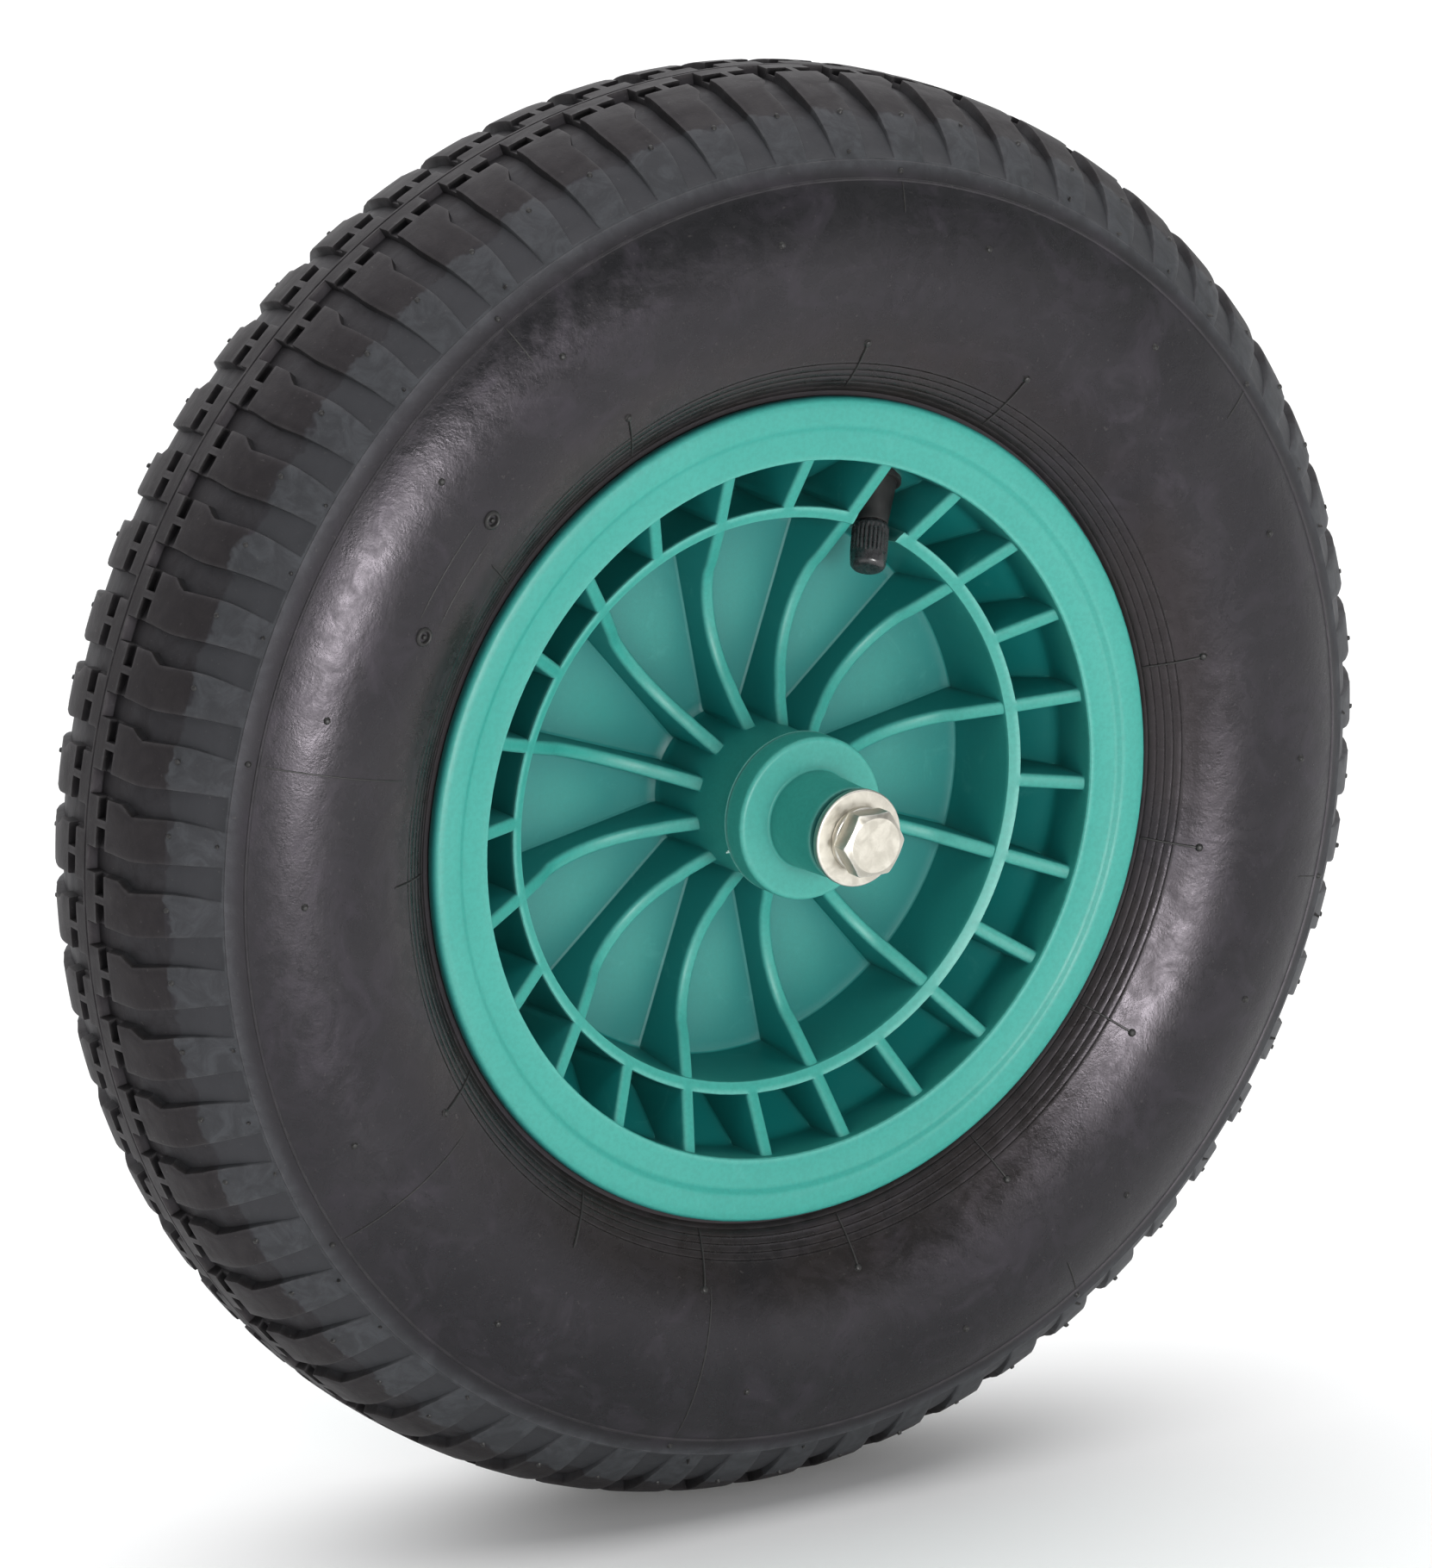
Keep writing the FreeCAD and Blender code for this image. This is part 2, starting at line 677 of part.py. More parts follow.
def make_valve_stem():
    """The rubber stem; its wide base is hollowed to lie on the inner tube."""
    blank = turned_on_valve_axis("StemBlank", [
        (sizes.insert_radius, sizes.base_start),
        (sizes.base_radius, sizes.base_start),
        (sizes.base_radius, sizes.base_end),
        (sizes.stem_root_radius, sizes.base_end),
        (sizes.stem_root_radius, sizes.stem_collar_start),
        (sizes.stem_collar_radius, sizes.stem_collar_start),
        (sizes.stem_collar_radius, sizes.stem_collar_end),
        (sizes.stem_root_radius, sizes.stem_collar_end),
        (sizes.stem_neck_radius, sizes.stem_end),
        (sizes.insert_radius, sizes.stem_end),
    ])
    around_tube = tube_torus("StemHollow", sizes.cavity_radius - sizes.tube_clearance + sizes.base_gap)
    keep(cut_from(blank, around_tube, "ValveStem"), "valve_stem")


def make_valve():
    axis = sizes.pin_radius * 0.0
    make_valve_stem()
    turned_valve_part("ValveInsert", "valve_insert", [
        (sizes.insert_bore_radius, sizes.insert_start),
        (sizes.insert_radius, sizes.insert_start),
        (sizes.insert_radius, sizes.stem_end),
        (sizes.insert_thread_radius, sizes.stem_end),
        (sizes.insert_thread_radius, sizes.insert_end),
        (sizes.core_bore_radius, sizes.insert_end),
        (sizes.core_bore_radius, sizes.core_seat),
        (sizes.insert_bore_radius, sizes.core_seat),
    ])
    gasket_start = sizes.core_seat + 0.1
    turned_valve_part("ValveCoreBody", "valve_core_body", [
        (sizes.core_pin_bore_radius, sizes.core_start),
        (sizes.core_neck_radius, sizes.core_start),
        (sizes.core_neck_radius, sizes.core_shoulder),
        (sizes.core_radius, sizes.core_shoulder),
        (sizes.core_radius, sizes.core_end),
        (sizes.core_spring_bore_radius, sizes.core_end),
        (sizes.core_spring_bore_radius, sizes.core_spring_floor),
        (sizes.core_pin_bore_radius, sizes.core_spring_floor),
    ])
    turned_valve_part("ValveCoreGasket", "valve_core_gasket", [
        (sizes.core_neck_radius, gasket_start),
        (sizes.gasket_radius, gasket_start),
        (sizes.gasket_radius, sizes.core_shoulder),
        (sizes.core_neck_radius, sizes.core_shoulder),
    ])
    turned_valve_part("ValveCorePin", "valve_core_pin", [
        (axis, sizes.pin_foot_start),
        (sizes.pin_seal_radius, sizes.pin_foot_start),
        (sizes.pin_seal_radius, sizes.pin_foot_end),
        (sizes.pin_radius, sizes.pin_foot_end),
        (sizes.pin_radius, sizes.pin_collar_start),
        (sizes.pin_collar_radius, sizes.pin_collar_start),
        (sizes.pin_collar_radius, sizes.pin_collar_end),
        (sizes.pin_radius, sizes.pin_collar_end),
        (sizes.pin_radius, sizes.pin_end),
        (axis, sizes.pin_end),
    ])
    turned_valve_part("ValveCoreSeal", "valve_core_seal", [
        (sizes.pin_radius, sizes.pin_foot_end),
        (sizes.pin_seal_radius, sizes.pin_foot_end),
        (sizes.pin_seal_radius, sizes.pin_seal_end),
        (sizes.pin_radius, sizes.pin_seal_end),
    ])
    cap_round_radius = sizes.cap_radius - sizes.cap_round
    cap_round_z = sizes.cap_end - sizes.cap_round
    turned_valve_part("ValveCap", "valve_cap", [
        (sizes.cap_bore_radius, sizes.cap_start),
        (sizes.cap_radius, sizes.cap_start),
        (sizes.cap_radius, cap_round_z),
        (cap_round_radius, sizes.cap_end),
        (axis, sizes.cap_end),
        (axis, sizes.cap_bore_end),
        (sizes.cap_bore_radius, sizes.cap_bore_end),
    ], {2: ((cap_round_radius.value, cap_round_z.value), sizes.cap_round, 1)})
    seal_end = sizes.cap_bore_end
    turned_valve_part("ValveCapSeal", "valve_cap_seal", [
        (axis, sizes.cap_seal_start),
        (sizes.cap_seal_radius, sizes.cap_seal_start),
        (sizes.cap_seal_radius, seal_end),
        (axis, seal_end),
    ])


def make_core_spring():
    """The coil between the core's floor and the pin's collar, a wire swept along a helix."""
    wire_radius = DIMENSIONS["spring_wire_radius"]
    start = DIMENSIONS["core_spring_floor"] + wire_radius + 0.02
    length = DIMENSIONS["pin_collar_start"] - DIMENSIONS["core_spring_floor"] - 2 * wire_radius - 0.04
    coil_radius = DIMENSIONS["spring_radius"]
    helix = Part.makeHelix(length / DIMENSIONS["spring_turns"], length, coil_radius)
    section_circle = Part.Circle(Vector(coil_radius, 0, 0), Vector(0, 1, 0), wire_radius)
    section = Part.Wire([section_circle.toShape()])
    coil = Part.Wire(helix.Edges).makePipeShell([section], True, True)
    spring = doc.addObject("Part::Feature", "ValveCoreSpring")
    spring.Shape = coil
    spring.Placement = valve_placement() * Placement(Vector(0, 0, start), Rotation())
    keep(spring, "valve_core_spring")


def check_document():
    for item in doc.Objects:
        bad = [state for state in item.State if state in ("Invalid", "Error")]
        if bad:
            raise RuntimeError(f"{item.Name} is {bad}")
    for feature in nodes:
        shape = feature.Shape
        if shape.isNull() or not shape.isValid() or shape.Volume <= 0:
            raise RuntimeError(f"{feature.Label} has no valid solid")
        print(f"{feature.Label}: {shape.Volume / 1000:.2f} cm3, {len(shape.Solids)} solid(s)")


def export_nodes():
    os.makedirs("parts", exist_ok=True)
    for feature in nodes:
        feature.Shape.exportStep(os.path.join("parts", f"{feature.Label}.step"))


fill_sheet()
make_tyre()
make_bead_wires()
make_inner_tube()
make_rim()
make_bushes()
make_axle()
make_washers()
make_lock_washers()
make_screws()
make_valve()
make_core_spring()
doc.recompute()
check_document()
export_nodes()
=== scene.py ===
import random
from math import acos, cos, pi, radians, sin, tan

import bmesh
import bpy
import numpy as np
from mathutils import Matrix, Vector


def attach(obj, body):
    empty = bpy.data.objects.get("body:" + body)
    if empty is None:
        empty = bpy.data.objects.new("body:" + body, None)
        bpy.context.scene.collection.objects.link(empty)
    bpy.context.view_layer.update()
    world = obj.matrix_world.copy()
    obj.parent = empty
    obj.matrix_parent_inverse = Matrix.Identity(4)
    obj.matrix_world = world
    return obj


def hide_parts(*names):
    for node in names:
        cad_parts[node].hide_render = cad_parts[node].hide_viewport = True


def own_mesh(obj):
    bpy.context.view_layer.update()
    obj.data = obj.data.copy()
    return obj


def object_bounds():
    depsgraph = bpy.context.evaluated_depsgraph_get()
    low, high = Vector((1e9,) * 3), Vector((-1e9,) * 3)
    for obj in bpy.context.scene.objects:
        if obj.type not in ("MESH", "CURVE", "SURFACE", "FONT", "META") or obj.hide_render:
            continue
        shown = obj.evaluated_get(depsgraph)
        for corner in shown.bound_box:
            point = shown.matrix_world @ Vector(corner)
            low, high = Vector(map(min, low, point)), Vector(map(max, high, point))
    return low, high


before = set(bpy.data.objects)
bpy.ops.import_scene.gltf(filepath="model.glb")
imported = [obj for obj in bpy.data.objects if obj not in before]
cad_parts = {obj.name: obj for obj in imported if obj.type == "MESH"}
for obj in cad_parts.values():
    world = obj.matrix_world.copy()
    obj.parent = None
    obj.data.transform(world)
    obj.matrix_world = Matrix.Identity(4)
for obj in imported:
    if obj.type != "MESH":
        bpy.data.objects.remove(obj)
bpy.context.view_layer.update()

# A pneumatic wheelbarrow wheel. Shapes are worked out in millimetres and turned into metres when a
# mesh is made. Section profiles are pairs (radius, y). Angles are in degrees, from +X towards +Z.
# "near" is the -Y side, with the valve, and "far" is the +Y side.

MM = 0.001
NEAR = -1
FAR = 1
SIDE_NAMES = {NEAR: "near", FAR: "far"}
draw = random.Random(408)


# ---------- mesh tools

def on_circle(radius, y, degrees):
    """A ring of points round the Y axis. Any of the three may be an array."""
    angle = np.radians(np.asarray(degrees, float))
    radius = np.broadcast_to(np.asarray(radius, float), angle.shape)
    y = np.broadcast_to(np.asarray(y, float), angle.shape)
    return np.stack([radius * np.cos(angle), y, radius * np.sin(angle)], axis=1)


def add_object(name, data):
    placed = bpy.data.objects.new(name, data)
    bpy.context.scene.collection.objects.link(placed)
    return placed


class Skin:
    """Collects closed rings of points and the faces between them."""

    def __init__(self):
        self.points = []
        self.faces = []
        self.values = {}

    def ring(self, points, **values):
        start = len(self.points)
        self.points.extend(points.tolist() if isinstance(points, np.ndarray) else points)
        count = len(self.points) - start
        for name, value in values.items():
            filled = np.broadcast_to(np.asarray(value, float), (count,))
            self.values.setdefault(name, []).extend(filled.tolist())
        return list(range(start, start + count))

    def bridge(self, first, second):
        """Faces between two rings. The second may have a whole number of times fewer points."""
        share = len(first) // len(second)
        for i in range(len(second)):
            after = (i + 1) % len(second)
            fine = [first[(i * share + k) % len(first)] for k in range(share, -1, -1)]
            self.faces.append([second[i], second[after]] + fine)

    def join(self, rings):
        for first, second in zip(rings, rings[1:]):
            if len(first) >= len(second):
                self.bridge(first, second)
            else:
                self.bridge(second, first)

    def close(self, ring):
        self.faces.append(list(ring))

    def solid(self, rings):
        """Faces between the rings, and a lid on each end."""
        self.join(rings)
        self.close(rings[0])
        self.close(rings[-1])

    def piece(self, name):
        """The finished mesh as an object, in metres, with its values as point attributes."""
        mesh = bpy.data.meshes.new(name)
        mesh.from_pydata((np.asarray(self.points, float) * MM).tolist(), [], self.faces)
        for value_name, numbers in self.values.items():
            attribute = mesh.attributes.new(value_name, "FLOAT", "POINT")
            attribute.data.foreach_set("value", np.asarray(numbers, np.float32))
        cleaner = bmesh.new()
        cleaner.from_mesh(mesh)
        bmesh.ops.recalc_face_normals(cleaner, faces=cleaner.faces)
        cleaner.to_mesh(mesh)
        cleaner.free()
        return add_object(name, mesh)


def finish_piece(piece, material, body, replaced, sharp_angle):
    mesh = piece.data
    mesh.polygons.foreach_set("use_smooth", [True] * len(mesh.polygons))
    mesh.set_sharp_from_angle(angle=radians(sharp_angle))
    mesh.materials.clear()
    mesh.materials.append(material)
    if replaced:
        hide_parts(*replaced)
    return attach(piece, body)


def rounded(corners, steps=4):
    """An outline with each corner (r, y, radius) rounded off. Radius 0 keeps a corner sharp."""
    outline = []
    count = len(corners)
    for i, (r, y, radius) in enumerate(corners):
        here = np.array((r, y), float)
        if radius == 0:
            outline.append(tuple(here))
            continue
        before = np.array(corners[i - 1][:2], float) - here
        after = np.array(corners[(i + 1) % count][:2], float) - here
        before /= np.linalg.norm(before)
        after /= np.linalg.norm(after)
        half = acos(np.clip(before @ after, -1.0, 1.0)) / 2
        reach = radius / tan(half)
        middle = (before + after) / np.linalg.norm(before + after)
        centre = here + middle * radius / sin(half)
        spokes = [here + before * reach - centre, here + after * reach - centre]
        for share in np.linspace(0, 1, steps + 1):
            angle = pi - 2 * half
            weights = (sin((1 - share) * angle), sin(share * angle))
            spoke = (weights[0] * spokes[0] + weights[1] * spokes[1]) / sin(angle)
            outline.append(tuple(centre + spoke))
    return outline


def lathe(name, outline, segments, wave=None):
    """Turns a closed outline about the Y axis. wave(r, y, degrees) may change the radius."""
    skin = Skin()
    degrees = np.arange(segments) * 360.0 / segments
    rings = []
    for r, y in outline:
        radius = r if wave is None else wave(r, y, degrees)
        rings.append(skin.ring(on_circle(radius, y, degrees)))
    skin.join(rings + [rings[0]])
    return skin.piece(name)


# ---------- material tools

class Finish:
    """A node material with a Principled shader and short calls for the nodes round it."""

    def __init__(self, name, **constants):
        self.material = bpy.data.materials.new(name)
        self.material.use_nodes = True
        self.nodes = self.material.node_tree.nodes
        self.links = self.material.node_tree.links
        self.shader = next(n for n in self.nodes if n.type == "BSDF_PRINCIPLED")
        self.place = self.nodes.new("ShaderNodeTexCoord").outputs["Object"]
        for socket, value in constants.items():
            self.shader.inputs[socket.replace("_", " ")].default_value = value

    def feed(self, value, socket):
        if isinstance(value, bpy.types.NodeSocket):
            self.links.new(value, socket)
        else:
            socket.default_value = value

    def noise(self, per_metre, detail=3.0, roughness=0.55, stretch=None, warp=0.0):
        node = self.nodes.new("ShaderNodeTexNoise")
        node.inputs["Scale"].default_value = per_metre
        node.inputs["Detail"].default_value = detail
        node.inputs["Roughness"].default_value = roughness
        node.inputs["Distortion"].default_value = warp
        place = self.place
        if stretch is not None:
            mapping = self.nodes.new("ShaderNodeMapping")
            mapping.inputs["Scale"].default_value = stretch
            self.links.new(self.place, mapping.inputs["Vector"])
            place = mapping.outputs["Vector"]
        self.links.new(place, node.inputs["Vector"])
        return node.outputs["Fac"]

    def attribute(self, name):
        node = self.nodes.new("ShaderNodeAttribute")
        node.attribute_name = name
        return node.outputs["Fac"]

    def math(self, operation, first, second):
        node = self.nodes.new("ShaderNodeMath")
        node.operation = operation
        self.feed(first, node.inputs[0])
        self.feed(second, node.inputs[1])
        return node.outputs[0]

    def span(self, value, low, high, to_low=0.0, to_high=1.0, smooth=True):
        node = self.nodes.new("ShaderNodeMapRange")
        node.interpolation_type = "SMOOTHSTEP" if smooth else "LINEAR"
        self.feed(value, node.inputs["Value"])
        node.inputs["From Min"].default_value = low
        node.inputs["From Max"].default_value = high
        node.inputs["To Min"].default_value = to_low
        node.inputs["To Max"].default_value = to_high
        return node.outputs["Result"]

    def mix(self, share, first, second):
        node = self.nodes.new("ShaderNodeMix")
        node.data_type = "RGBA"
        self.feed(share, node.inputs[0])
        for value, socket in ((first, node.inputs[6]), (second, node.inputs[7])):
            self.feed(value if isinstance(value, bpy.types.NodeSocket) else (*value, 1.0), socket)
        return node.outputs[2]

    def times(self, first, second):
        return self.math("MULTIPLY", first, second)

    def over(self, base, share, amount, colour):
        """Lays a colour over the base where share says, by this amount at most."""
        return self.mix(self.times(share, amount), base, colour)

    def bump(self, height, distance_mm, below=None, strength=1.0):
        node = self.nodes.new("ShaderNodeBump")
        node.inputs["Strength"].default_value = strength
        node.inputs["Distance"].default_value = distance_mm * MM
        self.feed(height, node.inputs["Height"])
        if below is not None:
            self.links.new(below, node.inputs["Normal"])
        return node.outputs["Normal"]

    def edge(self, distance_mm):
        """1 at open edges, 0 on flat faces and in corners, for wear."""
        node = self.nodes.new("ShaderNodeAmbientOcclusion")
        node.samples = 6
        node.inside = True
        node.only_local = True
        node.inputs["Distance"].default_value = distance_mm * MM
        return self.span(node.outputs["AO"], 0.97, 0.62)

    def painted_shade_mask(self, distance_mm, low=0.0, high=1.0):
        """1 in crevices, 0 in the open, as the mask for painted shade there."""
        node = self.nodes.new("ShaderNodeAmbientOcclusion")
        node.samples = 6
        node.inputs["Distance"].default_value = distance_mm * MM
        return self.span(node.outputs["AO"], 1.0 - low, 1.0 - high, smooth=False)

    def done(self, colour, roughness, normal=None):
        self.feed(colour if isinstance(colour, bpy.types.NodeSocket) else (*colour, 1.0),
                  self.shader.inputs["Base Color"])
        self.feed(roughness, self.shader.inputs["Roughness"])
        if normal is not None:
            self.links.new(normal, self.shader.inputs["Normal"])
        return self.material


# ---------- the rim moulding

SPOKE_PHASE = 11.0
SPOKE_ROOT, SPOKE_ROOT_CREST = 19.0, 23.6
SPOKE_TIP, SPOKE_TIP_CREST = 79.3, 25.0
DIP_START, DIP_START_CREST = 30.8, 15.4
DIP_END, DIP_END_CREST = 67.0, 16.8
DIP_ROUND, DIP_MIDDLE, DIP_CENTRE_Y = 33.0, 48.9, 43.7
GUSSET_ROOT, GUSSET_ROOT_CREST = 80.0, 25.3
GUSSET_RISE, GUSSET_LENGTH = 11.3, 19.0
GUSSET_END = 99.0
HUB_RADIUS = 20.5
PLAIN_GUSSET_START = 78.0
RING_MIDDLE = 79.3
RING_HALF_WIDTH = 3.2
LIP_INNER_RADIUS = 97.2
LIP_ROWS = 8
GUSSET_TOP_ROWS = (96.5, 96.88)
RIB_PITCH = 15.0
WEB = 1.5
CONE_FOOT = 85.7
CONE_SLOPE = 18.8 / 11.7
GAP_FLOOR = 12.0
VALVE_ANGLE = 63.5
VALVE_TILT = 28.7
VALVE_START = (98.5, -10.4)
VALVE_HOLE = 6.4
VALVE_HOLE_SPAN = (-2.0, 12.0)
SEAT_RADIUS = 101.6
# across half a rib: distances from its middle, how far its top falls there, its foot's fillet
RIB_OFFSETS = (0.0, 1.0, 1.5, 1.82, 2.0, 2.1, 2.35, 2.95)
RIB_DROPS = (0.0, 0.06, 0.3, 0.68, 1.25)
FOOT_RISE = {5: 1.15, 6: 0.32, 7: 0.0}
PANEL_SHARES = (0.25, 0.5, 0.75)
# the ring is cut away over the gap where the valve comes through
GAP_SHARES = (0.05, 0.063, 0.28, 0.5, 0.75)
GAP_RIB = 3
GAP_ARC = (58.2, 69.8)


def rim_rows():
    """One side of the rim from the hub's bore out to the drop-centre well, as (radius, |y|)."""
    rows = [(16.0, 37.7), (16.3, 38.0), (19.8, 38.0), (20.05, 37.75), (20.5, 36.9)]
    for y in (33.0, 29.0, 26.5, 25.2, 24.3, 23.4, 22.0, 18.0, 13.0, 8.0, 4.5):
        rows.append((20.5 + (38.0 - y) / 36.5, y))
    rows += [(21.6, 3.0), (22.0, 2.0), (23.0, WEB)]
    rows += [(r, WEB) for r in (25.0, 28.0, 30.8, 33.5, 36.5, 40, 43, 46, 49, 52, 55.5, 59, 62, 65,
                                67.5, 70.5, 73.3)]
    rows += [(75.2, WEB), (75.9, 1.62), (76.22, 1.92), (76.38, 2.6)]
    for y in (7.0, 12.0, 16.0, 18.6, 20.0, 21.5, 22.6, 23.6, 24.3):
        rows.append((76.3 + (y - WEB) * 0.094, y))
    rows += [(78.6, 24.85), (79.0, 25.1), (80.2, 25.6), (81.2, 26.0), (81.6, 26.1), (81.85, 25.8)]
    for y in (25.0, 21.0, 16.0, 12.2, 11.8, 8.0, 4.0):
        rows.append((81.85 + (26.3 - y) * 0.018, y))
    rows += [(82.4, 2.6), (82.9, 1.8), (83.6, WEB), (84.6, WEB), (85.3, 1.6), (86.0, 2.2)]
    for r in (87.5, 89.5, 91.5, 93.5, 95.3, 96.4):
        rows.append((r, WEB + (r - CONE_FOOT) * CONE_SLOPE))
    rows += [(97.1, 20.1), (97.4, 21.2)]
    for y in (23.0, 26.0, 29.0, 31.5, 33.5, 35.0, 36.2, 37.0):
        rows.append((97.4 - (y - 20.3) * 0.034, y))
    rows += [(96.9, 37.5), (97.2, 37.9), (97.8, 38.05), (98.5, 38.0), (99.2, 37.95)]
    rows += [(102.0, 38.1), (104.3, 38.3), (104.9, 38.38), (105.5, 38.66), (106.2, 39.22)]
    rows += [(106.8, 39.5), (107.5, 39.6), (109.0, 39.6), (111.2, 39.6)]
    for angle in (70, 50, 30, 10):
        turn = radians(angle)
        rows.append((112.35 + 2 * cos(turn), 37.6 + 2 * sin(turn)))
    rows += [(114.35, 36.4), (114.1, 35.8), (113.5, 35.6), (108.0, 35.6), (102.6, 35.6)]
    rows += [(101.75, 35.1), (SEAT_RADIUS, 34.0), (SEAT_RADIUS, 28.0), (SEAT_RADIUS, 22.0)]
    rows += [(101.3, 20.9), (100.2, 18.96), (95.0, 10.6), (90.4, 3.3), (89.8, 2.2), (89.6, 1.4)]
    return np.array(rows)


def crest_height(r):
    """Height of a rib's top at each radius: a dished spoke inside the ring, a gusset outside."""
    r = np.asarray(r, float)
    start_slope = (DIP_START_CREST - SPOKE_ROOT_CREST) / (DIP_START - SPOKE_ROOT)
    end_slope = (SPOKE_TIP_CREST - DIP_END_CREST) / (SPOKE_TIP - DIP_END)
    dip = DIP_CENTRE_Y - np.sqrt(np.maximum(DIP_ROUND ** 2 - (r - DIP_MIDDLE) ** 2, 0.0))
    spoke = np.where(r < DIP_START, SPOKE_ROOT_CREST + (r - SPOKE_ROOT) * start_slope, dip)
    spoke = np.where(r > DIP_END, DIP_END_CREST + (r - DIP_END) * end_slope, spoke)
    gusset = GUSSET_ROOT_CREST + (r - GUSSET_ROOT) * GUSSET_RISE / GUSSET_LENGTH
    height = np.where(r < SPOKE_TIP, spoke, gusset)
    return np.where((r > SPOKE_ROOT) & (r < GUSSET_END), height, -1.0)


def rim_columns():
    """For each column: rib, rib's angle, offset in mm, place in RIB_OFFSETS, share of the panel."""
    columns = []
    for k in range(24):
        angle = SPOKE_PHASE + k * RIB_PITCH
        for index in range(len(RIB_OFFSETS) - 1, 0, -1):
            columns.append((k, angle, -RIB_OFFSETS[index], index, None))
        for index, offset in enumerate(RIB_OFFSETS):
            columns.append((k, angle, offset, index, None))
        for share in GAP_SHARES if k == GAP_RIB else PANEL_SHARES:
            columns.append((k, angle, 0.0, None, share))
    return columns


def column_angles(radius, column):
    """The angle of one column at every row. Plain gussets keep their angle inside the ring."""
    k, angle, offset, _, share = column
    frozen = np.maximum(radius, HUB_RADIUS if k % 2 == 0 else PLAIN_GUSSET_START)
    if share is None:
        return angle + np.degrees(np.arcsin(offset / frozen))
    half = np.degrees(np.arcsin(RIB_OFFSETS[-1] / frozen))
    other = np.maximum(radius, HUB_RADIUS if k % 2 else PLAIN_GUSSET_START)
    half_next = np.degrees(np.arcsin(RIB_OFFSETS[-1] / other))
    turned = angle + half + share * (RIB_PITCH - half - half_next)
    if k == GAP_RIB and share < 0.1:
        # the ring's cut end is rounded off
        away = np.abs(radius - RING_MIDDLE)
        off_middle = np.clip(away / RING_HALF_WIDTH, 0.0, 1.0)
        turned -= 0.9 * (1.0 - np.sqrt(1.0 - off_middle ** 2)) * (away < RING_HALF_WIDTH)
    return turned


def rim_moulding():
    rows = rim_rows()
    radius, height = rows[:, 0], rows[:, 1]
    columns = rim_columns()
    turned = np.array([column_angles(radius, column) for column in columns])
    row = np.arange(len(rows))
    lip = np.argmax(radius > LIP_INNER_RADIUS)
    outside = row > lip + LIP_ROWS
    cone = (radius > 86.1) & (radius < 96.6) & (height < 20.0) & (row < lip)
    web = height < WEB + 0.02
    # under a gusset the rows of the wall move in to lie on the gusset's top
    wall = (radius > GUSSET_TOP_ROWS[0]) & (height < 35.3) & (height > 20.0) & ~outside
    slid = radius.copy()
    slid[wall] = np.linspace(*GUSSET_TOP_ROWS, wall.sum())
    reach = {NEAR: [], FAR: []}
    grid = {NEAR: [], FAR: []}
    for side in (NEAR, FAR):
        for j, (k, _, _, index, share) in enumerate(columns):
            top = height.copy()
            out = radius.copy()
            if side == NEAR and GAP_ARC[0] < turned[j][np.argmax(radius > 79.0)] < GAP_ARC[1]:
                if not (k == GAP_RIB and share is not None and share < 0.06):
                    on_ring = (radius > 75.0) & (radius < 82.6) & (height > GAP_FLOOR)
                    top = np.where(on_ring, GAP_FLOOR, top)
            rib_here = (radius > 79.0) | (k % 2 == 0)
            if index is not None and index < len(RIB_DROPS):
                raised = crest_height(slid) - RIB_DROPS[index]
                lift = rib_here & ~outside & (raised > top) & (radius > 20.0)
                top = np.where(lift, raised, top)
                out = np.where(lift, slid, radius)
            if index in FOOT_RISE:
                # a small fillet where a rib stands on the web or on the pocket's slope
                room = np.clip((crest_height(radius) - top) / 4.0, 0.0, 1.0)
                foot = (web | cone) & rib_here & ~outside
                top = np.where(foot, top + FOOT_RISE[index] * room, top)
            grid[side].append(top)
            reach[side].append(out)
    skin = Skin()
    rings = []
    for side, order in ((NEAR, range(len(rows))), (FAR, range(len(rows) - 1, -1, -1))):
        tops = np.array(grid[side])
        outs = np.array(reach[side])
        for i in order:
            rings.append(skin.ring(on_circle(outs[:, i], side * tops[:, i], turned[:, i])))
    skin.join(rings + [rings[0]])
    return skin.piece("rim_moulding.shell")


def valve_frame():
    """The valve's own frame: Z runs along the stem from inside the tyre towards the cap."""
    angle = radians(VALVE_ANGLE)
    tilt = radians(VALVE_TILT)
    outward = Vector((cos(angle), 0.0, sin(angle)))
    along = -cos(tilt) * outward + Vector((0.0, -sin(tilt), 0.0))
    origin = outward * VALVE_START[0] + Vector((0.0, VALVE_START[1], 0.0))
    across = Vector((-sin(angle), 0.0, cos(angle)))
    turn = Matrix((across, along.cross(across), along)).transposed().to_4x4()
    return Matrix.Translation(origin * MM) @ turn


def stand_up(piece):
    """Turns a lathed piece, made about Y, so that its Y runs along the valve's axis."""
    piece.data.transform(valve_frame() @ Matrix.Rotation(radians(90), 4, "X"))
    return piece


def cut_valve_hole(rim):
    start, end = VALVE_HOLE_SPAN
    outline = [(0.01, start), (VALVE_HOLE, start), (VALVE_HOLE, end), (0.01, end)]
    cutter = stand_up(lathe("valve_hole", outline, segments=64))
    cut = rim.modifiers.new("valve_hole", "BOOLEAN")
    cut.operation = "DIFFERENCE"
    cut.object = cutter
    cut.solver = "EXACT"
    bpy.context.view_layer.update()
    evaluated = rim.evaluated_get(bpy.context.evaluated_depsgraph_get())
    cut_mesh = bpy.data.meshes.new_from_object(evaluated)
    rim.modifiers.clear()
    rim.data = cut_mesh
    bpy.data.objects.remove(cutter)


# ---------- the tyre

SECTION_CENTRE = 150.3
SECTION_RADIUS = 49.7
LUG_PITCH = 6.0
LUG_COUNT = 60
LUG_PHASE = {NEAR: 0.6, FAR: 3.6}
